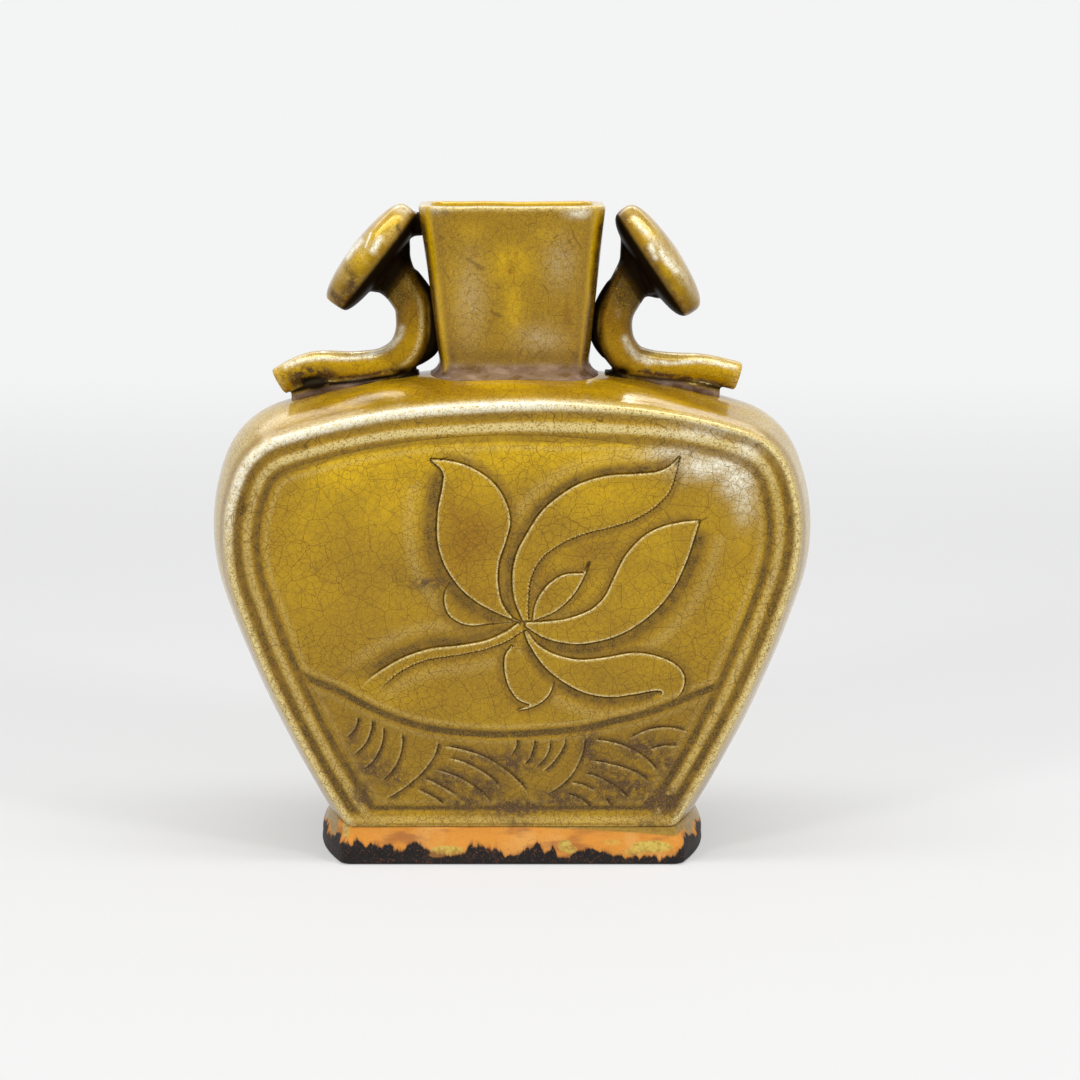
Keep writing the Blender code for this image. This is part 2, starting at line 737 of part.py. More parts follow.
def build_cap(vase, glaze, handle):
    """A domed oval cap, turned about its own axis and then tilted on to the stem."""
    name = f"mushroom_cap_{handle.hand}"
    centre, facing = cap_frame(handle)
    half_length = CAP_LENGTH / 2
    dome = CAP_THICKNESS - CAP_RIM
    profile = [(0, 0)]
    profile += [(half_length * r, CAP_RIM * z) for r, z in CAP_RIM_SHARES]
    profile += [(half_length * r, CAP_RIM + dome * z) for r, z in CAP_DOME_SHARES]
    profile += [(0, CAP_THICKNESS)]
    bm = bmesh.new()
    verts = [bm.verts.new((r, 0, z - CAP_THICKNESS / 2)) for r, z in profile]
    edges = [bm.edges.new(pair) for pair in zip(verts, verts[1:])]
    turn = 2 * math.pi
    bmesh.ops.spin(bm, geom=verts + edges, axis=(0, 0, 1), angle=turn, steps=CAP_STEPS, use_merge=True)
    bmesh.ops.remove_doubles(bm, verts=bm.verts, dist=SEAM / 10)
    bmesh.ops.scale(bm, vec=(1, CAP_DEPTH / CAP_LENGTH, 1), verts=bm.verts)
    tilt = Matrix.Rotation(math.atan2(facing.x, facing.z), 4, "Y")
    bmesh.ops.transform(bm, matrix=Matrix.Translation(centre) @ tilt, verts=bm.verts)
    new_object(name, mesh_from(bm, name), vase, glaze)


def build_tail_luting(vase, glaze, handle, clearances):
    """A mound of clay between the shoulder and the free end of a stem."""
    name = f"tail_luting_{handle.hand}"
    bm = bmesh.new()
    bmesh.ops.create_uvsphere(bm, u_segments=LUTING_SIDES, v_segments=LUTING_SIDES // 2, radius=1)
    size = (handle.luting_length / 2, LUTING_DEPTH / 2, LUTING_HEIGHT / 2)
    bmesh.ops.scale(bm, vec=size, verts=bm.verts)
    middle = handle_point(handle.side, handle.luting_out, 0)
    bmesh.ops.translate(bm, vec=middle, verts=bm.verts)
    luting = new_object(name, mesh_from(bm, name), vase, glaze)
    for clearance in clearances:
        combine(luting, clearance)


def build_handle(vase, cutters, glaze, brown, handle, shoulder_clearance, neck_clearance):
    """Stem, cap and tail luting of one handle."""
    route = stem_route(handle)
    clearances = (shoulder_clearance, neck_clearance)
    build_stem(f"handle_stem_{handle.hand}", vase, glaze, route, clearances)
    build_cap(vase, glaze, handle)
    name = f"stem_clearance_{handle.hand}"
    stem_clearance = new_cutter(name, tube_mesh(name, route, SEAM), cutters)
    build_tail_luting(vase, brown, handle, (shoulder_clearance, stem_clearance))


def main():
    clear_scene()
    vase = new_collection("vase")
    cutters = new_collection("cutters")
    cutters.hide_render = True
    honey = new_material("honey_glaze", HONEY_GLAZE, GLAZE_ROUGHNESS)
    olive = new_material("olive_glaze", OLIVE_GLAZE, GLAZE_ROUGHNESS)
    brown = new_material("brown_glaze", BROWN_GLAZE, GLAZE_ROUGHNESS)
    clay = new_material("bare_clay", BARE_CLAY, CLAY_ROUGHNESS)
    neck_clearance = build_neck_clearance(cutters)
    shoulder_clearance = build_shoulder_clearance(cutters)
    build_panels(vase, cutters, honey)
    build_side_walls(vase, olive)
    build_shoulder(vase, olive, neck_clearance)
    build_foot(vase, clay)
    build_floor(vase, olive)
    build_neck(vase, olive)
    build_neck_coil(vase, brown)
    for handle in (LEFT_HANDLE, RIGHT_HANDLE):
        build_handle(vase, cutters, honey, brown, handle, shoulder_clearance, neck_clearance)


main()
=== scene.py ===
"""Flask vase in crackled honey glaze, dressed over its solids.

Lengths are in metres, +Z is up and the carved front faces -Y. Places read in the photograph
are pixels of its 1080 by 1080 frame, and the Photograph class turns them into places on the vase.
"""

import logging
import math
from collections.abc import Callable, Iterable, Sequence
from dataclasses import dataclass, field
from enum import Enum

import bmesh
import bpy
import numpy as np
from bmesh.types import BMEdge, BMesh, BMVert
from bpy.types import ID, Material, Mesh, Node, NodeSocket, NodeTree, Object
from mathutils import Matrix, Vector
from numpy import ndarray as Array


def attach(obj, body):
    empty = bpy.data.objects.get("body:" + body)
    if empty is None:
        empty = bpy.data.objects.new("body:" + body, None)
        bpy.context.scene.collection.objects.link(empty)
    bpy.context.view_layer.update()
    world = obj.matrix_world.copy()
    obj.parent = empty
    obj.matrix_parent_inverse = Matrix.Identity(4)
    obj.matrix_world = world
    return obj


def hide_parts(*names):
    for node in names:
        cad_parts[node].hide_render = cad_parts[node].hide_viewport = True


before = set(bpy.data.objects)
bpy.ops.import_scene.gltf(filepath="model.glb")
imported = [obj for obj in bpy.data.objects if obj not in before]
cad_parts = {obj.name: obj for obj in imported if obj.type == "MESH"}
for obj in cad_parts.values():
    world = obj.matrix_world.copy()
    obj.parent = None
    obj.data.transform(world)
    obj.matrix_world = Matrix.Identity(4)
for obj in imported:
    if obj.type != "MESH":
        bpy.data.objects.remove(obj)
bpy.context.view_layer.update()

LOG = logging.getLogger("flask_vase")

Spot = tuple[float, float]
Triple = tuple[float, float, float]
Colour = Triple


def ease(low: float, high: float, value: Array) -> Array:
    """Rises from 0 at low to 1 at high with level ends.

    Args:
        low: value where the step starts; it may lie above high for a falling step.
        high: value where the step ends.
        value: what is tested.

    Returns:
        The step for each value.
    """
    share = np.clip((value - low) / (high - low), 0, 1)
    return share * share * (3 - 2 * share)


def swell(distance: Array, reach: float) -> Array:
    """Bell curve that is 1 at no distance and fades over reach."""
    return np.exp(-((distance / reach) ** 2))


def curve_through(points: Sequence[Sequence[float]], steps: int) -> Array:
    """Catmull-Rom curve through hand-set points.

    Args:
        points: the points, each with the same number of coordinates.
        steps: stretches made between two neighbours.

    Returns:
        The points of the curve, one row each.
    """
    given = np.array(points, float)
    padded = np.vstack([2 * given[0] - given[1], given, 2 * given[-1] - given[-2]])
    curve = []
    for a, b, c, d in zip(padded, padded[1:], padded[2:], padded[3:]):
        for share in np.arange(steps) / steps:
            bend = 2 * b + (c - a) * share + (2 * a - 5 * b + 4 * c - d) * share**2
            curve.append((bend + (3 * b - a - 3 * c + d) * share**3) / 2)
    return np.array([*curve, given[-1]])


@dataclass(frozen=True)
class Nearness:
    """How places lie to a line: distance, share of the way along it, side and nearest point."""

    distance: Array
    along: Array
    side: Array
    foot: Array


def nearness(places: Array, line: Array, at_once: int = 20000) -> Nearness:
    """Measures places against a line of straight stretches.

    Args:
        places: one (x, z) row for each place.
        line: one (x, z) row for each point of the line.
        at_once: places measured together, to keep memory small.

    Returns:
        The nearness of each place; side is positive to the left of the line's run.
    """
    start, run = line[:-1], np.diff(line, axis=0)
    length = np.hypot(*run.T)
    before = np.concatenate([[0], np.cumsum(length)])
    parts = []
    for first in range(0, len(places), at_once):
        here = places[first : first + at_once, None, :] - start
        share = np.clip((here * run).sum(2) / length**2, 0, 1)
        away = here - share[..., None] * run
        best = np.hypot(away[..., 0], away[..., 1]).argmin(1)
        rows = np.arange(len(best))
        gap = away[rows, best]
        cross = run[best, 0] * here[rows, best, 1] - run[best, 1] * here[rows, best, 0]
        along = (before[best] + share[rows, best] * length[best]) / before[-1]
        foot = places[first : first + at_once] - gap
        parts.append((np.hypot(*gap.T), along, np.sign(cross), foot))
    return Nearness(*(np.concatenate(column) for column in zip(*parts)))


def encloses(loop: Array, places: Array) -> Array:
    """Tells which places lie inside a closed loop.

    Args:
        loop: one (x, z) row for each corner.
        places: one (x, z) row for each place.

    Returns:
        True for each place inside.
    """
    inside = np.zeros(len(places), bool)
    for (ax, az), (bx, bz) in zip(loop, np.roll(loop, -1, axis=0)):
        spans = (az > places[:, 1]) != (bz > places[:, 1])
        rise = bz - az if bz != az else 1.0
        inside ^= spans & (places[:, 0] < (bx - ax) * (places[:, 1] - az) / rise + ax)
    return inside


def put_in_scene(name: str, data: ID) -> Object:
    """Makes an object of its data and links it to the scene."""
    made = bpy.data.objects.new(name, data)
    bpy.context.scene.collection.objects.link(made)
    return made


@dataclass(frozen=True)
class Photograph:
    """The camera that the photograph was taken with, fitted to the vase."""

    frame_px: float = 1080.0
    focal_px: float = 2522.0
    axis_px: float = 512.0
    distance: float = 0.848
    height: float = 0.275
    pitch: float = math.radians(11.32)
    sensor_mm: float = 36.0

    def on_plane(self, spot: Spot, depth: float) -> Spot:
        """Place on an upright plane that shows at a pixel.

        Args:
            spot: pixel across and down.
            depth: the plane's place along Y.

        Returns:
            (x, z) of the place.
        """
        rise = (self.frame_px / 2 - spot[1]) / self.focal_px
        across = (spot[0] - self.axis_px) / self.focal_px
        cosine, sine = math.cos(self.pitch), math.sin(self.pitch)
        ahead = depth + self.distance
        up = ahead * (rise * cosine - sine) / (cosine + rise * sine)
        return across * (ahead * cosine - up * sine), up + self.height

    def make_camera(self) -> Object:
        """Makes the scene's camera at the photograph's place and angle.

        Returns:
            The camera.
        """
        data = bpy.data.cameras.new("camera")
        data.sensor_width = self.sensor_mm
        data.lens = self.focal_px / self.frame_px * self.sensor_mm
        data.shift_x = 0.5 - self.axis_px / self.frame_px
        data.clip_start = 0.05
        camera = put_in_scene("camera", data)
        camera.location = (0, -self.distance, self.height)
        camera.rotation_euler = (math.pi / 2 - self.pitch, 0, 0)
        bpy.context.scene.camera = camera
        return camera


PHOTO = Photograph()


@dataclass(frozen=True)
class Arc:
    """One arc of the outline, with angles from +Z towards +X."""

    centre_x: float
    centre_z: float
    radius: float
    start: float
    end: float


@dataclass(frozen=True)
class BodyOutline:
    """Outline of the body at mid depth: tangent arcs from the crown down to the foot."""

    top: float = 0.1649
    radii: tuple[float, ...] = (0.263, 0.0287, 0.068, 0.3855)
    turns: tuple[float, ...] = (math.radians(17.5), math.radians(51.2), math.radians(39.4))
    seat: float = 0.0133

    def arcs(self) -> list[Arc]:
        """The right half's arcs, from the crown to the seat on the foot.

        Returns:
            The arcs, each starting where the last one ends.
        """
        arcs = []
        centre_x, centre_z, angle = 0.0, self.top - self.radii[0], 0.0
        for radius, following, turn in zip(self.radii, self.radii[1:], self.turns):
            arcs.append(Arc(centre_x, centre_z, radius, angle, angle + turn))
            angle += turn
            centre_x += (radius - following) * math.sin(angle)
            centre_z += (radius - following) * math.cos(angle)
        end = math.acos((self.seat - centre_z) / self.radii[-1])
        arcs.append(Arc(centre_x, centre_z, self.radii[-1], angle, end))
        return arcs

    def inset(self, x: Array, z: Array) -> Array:
        """How far places lie inside the outline.

        Args:
            x: places across.
            z: heights.

        Returns:
            The distance of each place.
        """
        across = np.abs(x)
        nearest = np.full(np.shape(across), np.inf)
        for arc in self.arcs():
            out_x, out_z = across - arc.centre_x, z - arc.centre_z
            angle = np.arctan2(out_x, out_z)
            last = math.pi if arc.radius == self.radii[-1] else arc.end
            faces = (angle > arc.start - 1e-6) & (angle < last + 1e-6)
            nearest = np.where(faces, np.minimum(nearest, arc.radius - np.hypot(out_x, out_z)), nearest)
        return nearest

    def outwards(self, x: Array, z: Array) -> tuple[Array, Array]:
        """Direction that leads straight out of the outline, as (x, z) parts.

        Args:
            x: places across.
            z: heights.

        Returns:
            Both parts at each place.
        """
        step = 1e-5
        slope_x = self.inset(x + step, z) - self.inset(x - step, z)
        slope_z = self.inset(x, z + step) - self.inset(x, z - step)
        length = np.hypot(slope_x, slope_z) + 1e-12
        return -slope_x / length, -slope_z / length

    def half(self, inset: float, spacing: float) -> list[Spot]:
        """Points of the right half, moved in by inset, from the crown to the seat.

        Args:
            inset: distance inside the outline.
            spacing: longest stretch between two points.

        Returns:
            (x, z) points.
        """
        points = []
        for arc in self.arcs():
            radius = arc.radius - inset
            end = arc.end
            if arc.radius == self.radii[-1]:
                end = math.acos((self.seat - arc.centre_z) / radius)
            steps = math.ceil(radius * (end - arc.start) / spacing)
            angles = arc.start + (end - arc.start) * np.arange(steps) / steps
            points += [
                (arc.centre_x + radius * math.sin(a), arc.centre_z + radius * math.cos(a)) for a in angles
            ]
        points.append((arc.centre_x + radius * math.sin(end), self.seat))
        return points


OUTLINE = BodyOutline()


@dataclass(frozen=True)
class Cut:
    """One knife cut along a motif's edge, with the ground cut away on its outer side."""

    spots: tuple[Spot, ...]
    depth: float = 0.0008
    reach: float = 0.0055
    runs_out: float = 0.0
    notched: bool = False


@dataclass(frozen=True)
class Petal:
    """A raised leaf of the motif: the cuts round it, and the petals that it lies over."""

    name: str
    cuts: tuple[Cut, ...]
    over: tuple[str, ...] = ()


LOTUS = (
    Petal("tall", (
        Cut(((431, 460), (443, 472), (442.9, 486.4), (438.4, 510), (437.5, 536.4), (441.5, 556), (449, 572),
            (461.6, 589.1), (478, 602.5), (498.2, 613.2), (519.6, 622.1)), reach=0.0075),
        Cut(((431, 460), (450, 461.4), (471, 468), (491.1, 481.1), (504, 499), (509.8, 520.4), (505, 542),
            (498.5, 562), (497.5, 584), (502, 604), (513.5, 620)), reach=0.0042),
    ), over=("tucked",)),
    Petal("tucked", (
        Cut(((450, 583.8), (445.6, 592), (444.8, 603), (449, 614.5), (459, 622), (472, 625), (491.1, 623),
            (512, 622)), depth=0.0006, reach=0.004),
    )),
    Petal("high", (
        Cut(((523, 620.4), (515, 600), (512.9, 575.7), (517, 554), (525.7, 536.4), (540, 514),
            (556.1, 498.9), (579, 484.5), (607.9, 476.2), (636, 474.2), (657.9, 472.1), (670.4, 466.8),
            (680, 458)), reach=0.005),
        Cut(((528, 620.4), (528, 600), (530.8, 578), (541.8, 557.9), (561, 543.5), (582.9, 533.8),
            (615, 525.7), (636, 518.5), (657.9, 504.3), (672, 487), (680, 458)), reach=0.0035,
            notched=True),
    )),
    Petal("broad", (
        Cut(((525.7, 623), (543.6, 622.1), (566, 619.5), (590, 610.5), (605, 597), (615, 577), (626, 556),
            (643.6, 537.3), (663, 527), (684.6, 522.1), (699.8, 521.2)), depth=0.0006, reach=0.0035),
        Cut(((525.7, 626), (541.8, 636.4), (560, 642), (581, 643.8), (609.6, 638.2), (634, 627),
            (657.9, 607.9), (675, 586), (686.4, 561.4), (693.5, 540), (699.8, 521.2)), reach=0.0068),
    )),
    Petal("bud", (
        Cut(((532.9, 620), (535.5, 606), (541.5, 593.5), (552, 582), (566, 574.8), (582.9, 573.9)),
            depth=0.0005, reach=0.0034),
        Cut(((589.1, 563.2), (584, 576), (575, 592), (562, 606), (548, 615), (532.9, 620.4)), depth=0.0005,
            reach=0.0034),
    )),
    Petal("low", (
        Cut(((526.6, 631.1), (539, 645.8), (557.9, 656.1), (581, 660.5), (607, 657.8), (632, 653.4),
            (654, 655.7), (674, 663.5), (684, 675), (683.5, 688), (675.7, 698.9), (669.5, 703.4)),
            depth=0.0006, reach=0.0038, runs_out=0.1),
        Cut(((524.8, 632), (530, 645), (543.6, 665), (562, 680.5), (585, 692.5), (610, 696.8), (634, 694),
            (656.1, 690), (663, 692.2), (659.6, 698)), reach=0.005, runs_out=0.05),
    ), over=("hanging",)),
    Petal("hanging", (
        Cut(((511.6, 646.2), (505.5, 656), (505, 670.4), (509, 686), (517.9, 698.9), (530.4, 704.5)),
            depth=0.0006, reach=0.004),
        Cut(((553.6, 681.1), (549.5, 693), (541, 702), (530, 707.5), (519, 710)), depth=0.0005,
            reach=0.003),
    )),
    Petal("leaf", (
        Cut(((518.8, 623), (504, 633), (484, 641.5), (457.1, 646.2), (430, 649.3), (403.6, 657.9),
            (381, 670.5), (365, 682.5), (357.5, 692.5)), reach=0.0062, runs_out=0.2),
        Cut(((523.2, 630.2), (505, 641.5), (482, 649.8), (455, 655), (428, 659.5), (405, 668.5),
            (385, 683.5), (373.5, 699.5)), depth=0.0006, reach=0.003, runs_out=0.2, notched=True),
    )),
)

TICKS = (
    ((675, 466), (681.5, 457.5)), ((698.5, 523), (711, 516.5)), ((586, 571), (590, 561)), ((440, 460.5),
    (452, 456)),
)

BOWL_ARC = (
    (286, 668), (301, 675), (318, 683), (337.5, 691), (362, 704), (386, 715), (410, 723.6), (437, 729.7),
    (471, 733.3), (507, 734.5), (552.7, 732), (584, 728.4), (615.7, 721), (644.8, 714), (669, 705.4),
    (693, 695.7), (715, 687), (730, 680),
)

WAVES = (
    ((357.1, 716.6), (356.5, 722.7), (352.7, 731), (345, 738.1)), ((370.9, 718.3), (370.9, 727.1),
    (367, 739.3), (361, 748.1), (350.5, 757)), ((382.5, 724.9), (382.5, 737), (379.2, 749.2),
    (371.5, 762.5), (358.8, 771.9)), ((400.7, 731.5), (401.9, 742.6), (399.1, 757), (391.4, 771.3),
    (378.6, 783.5)), ((438.6, 738.1), (437.2, 747), (432.2, 759.1), (421.2, 773.5), (405.7, 786.8),
    (390.2, 796.7), (380.9, 801.1)), ((440, 746.4), (456.5, 749.2), (476.4, 754.7), (495.2, 763.6),
    (511.8, 775.7), (522.8, 786.8), (530.6, 800)), ((447.2, 758.6), (462.1, 762.5), (478.6, 770.2),
    (493, 780.1), (501.9, 791.2)), ((433.3, 769.6), (445.5, 773.5), (462.1, 780.1), (476.4, 789),
    (487.5, 798.9), (492.5, 807.8)), ((423.4, 779), (434.4, 783.5), (445.5, 789.5), (457.7, 796.7)),
    ((416.8, 789.5), (428.9, 795.6), (438.9, 801.1), (443.8, 807.2)), ((516.2, 739.3), (516.2, 745.9),
    (512.9, 752.5), (509, 758)), ((534.4, 739.3), (532.8, 749.2), (529.5, 758), (522.8, 765.8)),
    ((549.6, 738.9), (549.1, 748.7), (544.7, 758.4), (535, 768.2)), ((565.2, 736), (563.7, 745.8),
    (558.4, 755.5), (550.6, 765.2), (540.8, 773)), ((584.7, 735), (583.7, 748.7), (578.8, 762.3),
    (571, 776), (558.4, 787.6), (543.3, 796.9)), ((591.5, 739.9), (608, 741.9), (624.6, 746.7),
    (640.2, 754.5), (651.8, 764.3), (660.6, 776.9)), ((589.5, 761.3), (603.2, 763.3), (622.6, 768.2),
    (637.2, 774), (646, 779.8), (651.4, 786.7)), ((583.7, 774), (595.4, 776.9), (609, 783.7),
    (620.7, 791.5), (631.4, 802.2)), ((571, 783.3), (581.7, 785.2), (595.4, 791.5)), ((567.1, 794.9),
    (576.9, 798.3), (585.6, 803.2), (591.5, 809.5)), ((605.5, 799), (611.9, 808.1)), ((629.5, 739.9),
    (642.1, 733.1), (656.7, 728.7), (671.3, 728.2), (681.1, 730.2), (690.8, 733.6)), ((650.4, 750.6),
    (659.6, 747.7), (668.4, 746), (680.1, 746.9)),
)


@dataclass(frozen=True)
class Blot:
    """A soft patch of one tone, read in the photograph: glaze tones, painted highlights and painted shade are
    all laid so. Middle and reach in pixels.
    """

    tone: str
    across: float
    down: float
    wide: float
    tall: float
    strength: float = 1.0

    def cover(self, x: Array, z: Array, depth: float) -> Array:
        """How strongly the patch covers places on an upright plane."""
        middle = PHOTO.on_plane((self.across, self.down), depth)
        corner = PHOTO.on_plane((self.across + self.wide, self.down + self.tall), depth)
        gap = np.hypot((x - middle[0]) / (corner[0] - middle[0]), (z - middle[1]) / (middle[1] - corner[1]))
        return self.strength * swell(gap, 1)


@dataclass(frozen=True)
class Stroke:
    """A soft stroke of one tone, read in the photograph: glaze tones, painted highlights and painted shade
    are all laid so. Pixels along it and half width.
    """

    tone: str
    spots: tuple[Spot, ...]
    width: float
    strength: float = 1.0

    def cover(self, x: Array, z: Array, depth: float) -> Array:
        """How strongly the stroke covers places on an upright plane."""
        line = np.array([PHOTO.on_plane(spot, depth) for spot in self.spots])
        reach = self.width * (depth + PHOTO.distance) / PHOTO.focal_px
        return self.strength * swell(nearness(np.column_stack([x, z]), line).distance, reach)


def blots(tone: str, *rows: tuple[float, ...]) -> tuple[Blot, ...]:
    """Patches of one tone, each row as across, down, wide, tall and strength."""
    return tuple(Blot(tone, *row) for row in rows)


def strokes(tone: str, *rows: tuple) -> tuple[Stroke, ...]:
    """Strokes of one tone, each row as the pixels along it, half width and strength."""
    return tuple(Stroke(tone, *row) for row in rows)


def blotted(
    marks: Sequence[Blot | Stroke], tone: str, x: Array, z: Array, depth: float
) -> Array:
    """Covers places with every patch of one tone.

    Args:
        marks: the patches and strokes.
        tone: which tone counts.
        x: places across.
        z: heights.
        depth: the upright plane on which the patches were read.

    Returns:
        The strongest cover at each place.
    """
    total = np.zeros(len(x))
    for mark in marks:
        if mark.tone == tone:
            total = np.maximum(total, mark.cover(x, z, depth))
    return total


FACE_BLOTS = (
    *blots("gold", (350, 455, 70, 44, 1.2), (470, 448, 110, 32, 1.2), (395, 500, 60, 40, 0.7),
        (575, 447, 90, 28, 1.1), (590, 500, 40, 24, 0.5), (480, 490, 35, 30, 0.7), (610, 495, 55, 20, 0.6),
        (655, 545, 28, 22, 0.4), (320, 510, 40, 40, 0.4), (480, 575, 40, 30, 0.3), (705, 520, 25, 35, 0.3),
        (640, 590, 40, 30, 0.35), (740, 560, 22, 60, 0.3), (300, 600, 40, 40, 0.25)),
    *blots("amber", (468, 540, 34, 48, 0.75), (452, 520, 14, 40, 0.6), (480, 592, 26, 18, 0.6),
        (540, 580, 12, 22, 0.5), (600, 552, 26, 10, 0.4)),
    # Pale: painted sheen in the field's upper right corner and on the frame beside it.
    *blots("pale", (712, 466, 34, 11, 1.0), (738, 480, 16, 16, 0.9), (745, 500, 10, 20, 0.6),
        (675, 453, 30, 7, 0.6), (708, 430, 34, 8, 0.75), (748, 448, 14, 12, 0.7)),
    *blots("brown", (518, 808, 30, 9, 1.0), (464, 803, 18, 10, 0.8), (372, 768, 20, 16, 0.7),
        (392, 778, 14, 12, 0.65), (446, 779, 24, 10, 0.75), (484, 788, 22, 16, 0.75),
        (480, 760, 18, 9, 0.6), (512, 763, 30, 14, 0.7), (589, 748, 9, 22, 0.8), (642, 748, 24, 14, 0.75),
        (622, 787, 34, 18, 0.8), (600, 768, 18, 12, 0.65), (562, 799, 30, 12, 0.75),
        (660, 800, 22, 13, 1.0), (665, 762, 12, 18, 0.7), (362, 795, 10, 14, 0.8), (352, 740, 8, 16, 0.5),
        (428, 583, 20, 7, 0.65), (520, 822, 12, 6, 0.6), (646, 826, 12, 7, 0.55)),
)


@dataclass(frozen=True)
class Relief:
    """What a panel's face does at each place: drop below the ridge, glaze thinned and glaze pooled."""

    drop: Array
    thin: Array
    pool: Array


@dataclass(frozen=True)
class PanelCarving:
    """The face of a panel: moulded frame, lotus, bowl line and waves, as heights over a flat slab."""

    drawing_depth: float = -0.0315
    ridge_inset: float = 0.0075
    groove_inset: float = 0.0112
    inner_groove_inset: float = 0.0183
    inner_groove_height: float = 0.0192
    groove_drop: float = 0.00075
    bead_drop: float = 0.00015
    inner_groove_drop: float = 0.0009
    groove_reach: float = 0.0015
    inner_groove_reach: float = 0.0015
    groove_half: float = 0.0015
    field_drop: float = 0.0006
    bowl_drop: float = 0.0006
    bowl_reach: float = 0.0012
    wall: float = 0.00022
    lip: float = 0.00042
    knife_drop: float = 0.00035
    tick_drop: float = 0.0004
    wave_drop: float = 0.0004
    wave_reach: float = 0.0032
    skirt_out: float = 0.0011
    tooth: float = 0.0013
    tooth_depth: float = 0.0009
    curve_steps: int = 6
    turn_centre: float = 0.09
    turns: tuple[float, ...] = (
        -180, -130, -105, -75, -60, -45, -30, -15, 0, 15, 30, 45, 55, 70, 85, 105, 130, 180
    )
    outer_mm: tuple[float, ...] = (
        0, -0.4, -0.6, -0.3, 0.4, 0.1, 0.5, 1.0, 0.6, -0.2, -1.2, -2.9, -2.9, -1.7, -0.3, -0.4, 0.3, 0
    )
    inner_mm: tuple[float, ...] = (
        0, -1.4, -1.4, -1.1, 0.2, -0.3, 0.3, 1.1, 0.8, 1.1, -0.5, -2.9, -3.5, -2.2, -0.9, -0.9, -1.1, 0
    )

    def wander(self, x: Array, z: Array, amounts: Sequence[float]) -> Array:
        """How far in a hand-drawn frame line lies from its even place.

        Args:
            x: places across.
            z: heights.
            amounts: the line's shift at each of the turns, in millimetres.

        Returns:
            The shift at each place, in metres.
        """
        fine = np.linspace(-180, 180, 361)
        kernel = np.hanning(17) / np.hanning(17).sum()
        rough = np.pad(np.interp(fine, self.turns, amounts), 8, mode="edge")
        smooth = np.convolve(rough, kernel, mode="valid")
        return np.interp(np.degrees(np.arctan2(x, z - self.turn_centre)), fine, smooth) / 1000

    def crest(self, x: Array, z: Array) -> Array:
        """How far in the outer ridge lies from its even place."""
        return 0.6 * self.wander(x, z, self.outer_mm)

    def trace(self, spots: Sequence[Spot]) -> Array:
        """Smooth line on the panel through pixels of the photograph."""
        places = [PHOTO.on_plane(spot, self.drawing_depth) for spot in spots]
        return curve_through(places, self.curve_steps)

    def bowl_line(self) -> Array:
        """The bowl line's points, from left to right."""
        return self.trace(BOWL_ARC)

    def lines(self) -> list[Array]:
        """Every cut line of the drawing, for refining the mesh along it."""
        cuts = [self.trace(cut.spots) for petal in LOTUS for cut in petal.cuts]
        return cuts + [self.trace(spots) for spots in (*TICKS, *WAVES)]

    def carve(self, x: Array, z: Array) -> Relief:
        """Works out the whole face at the given places.

        Args:
            x: places across.
            z: heights.

        Returns:
            The relief and its tones there.
        """
        drop, thin, pool = self.frame_lines(x, z)
        shift = self.wander(x, z, self.inner_mm)
        inside = ease(0, 0.002, OUTLINE.inset(x, z) - self.inner_groove_inset - shift)
        for part in (self.lotus, self.bowl, self.waves):
            more, pale, brown = part(x, z)
            drop = drop + more * inside
            thin = np.maximum(thin, pale * inside)
            pool = np.maximum(pool, brown * inside)
        return Relief(drop, np.clip(thin, 0, 1), np.clip(pool, 0, 1))

    def frame_lines(self, x: Array, z: Array) -> tuple[Array, ...]:
        """Ridge, outer groove, bead, inner groove and the skirt that runs out on to the foot.

        Args:
            x: places across.
            z: heights.

        Returns:
            Metres cut away, and the shares of pale edge and pooled brown, at each place.
        """
        inset = OUTLINE.inset(x, z)
        outer = inset - self.groove_inset - self.wander(x, z, self.outer_mm)
        across = inset - self.inner_groove_inset - self.wander(x, z, self.inner_mm)
        inner = np.minimum(across, 1.4 * (z - self.inner_groove_height))
        field_share = ease(0, 0.003, inner)
        level = self.bead_drop * ease(-0.004, 0, outer) * (1 - field_share)
        drop = level + self.field_drop * field_share
        above_foot = ease(0.0158, 0.0186, z)
        drop = drop + self.groove_drop * swell(outer, self.groove_reach) * above_foot
        drop = drop + self.inner_groove_drop * swell(inner, self.inner_groove_reach)
        drop = drop - self.skirt_out * ease(0.0168, OUTLINE.seat, z)
        strong = 0.46 + 0.34 * ease(0.15, 0.125, z) + 0.16 * ease(0.07, 0.03, z)
        pool = ease(self.groove_half + 0.0005, self.groove_half - 0.0007, np.abs(outer)) * above_foot
        pool = strong * (pool + ease(self.groove_half + 0.0004, self.groove_half - 0.0007, np.abs(inner)))
        share = outer / (outer - across)
        bead = ease(0.22, 0.4, share) * ease(0.78, 0.6, share)
        ridge = inset - self.ridge_inset - self.crest(x, z)
        bead = bead + swell(ridge - 0.0003, 0.0022)
        thin = (0.36 + 0.48 * ease(0.12, 0.15, z)) * bead * above_foot
        thin = thin + 0.2 * swell(inner - 0.0032, 0.0009)
        thin = thin + 0.24 * ease(0.0172, 0.0158, z)
        pool = np.maximum(pool, 0.8 * swell(z - 0.0139, 0.0004))
        return drop, np.clip(thin, 0, 1) * (1 - 0.85 * np.clip(pool, 0, 1)), pool

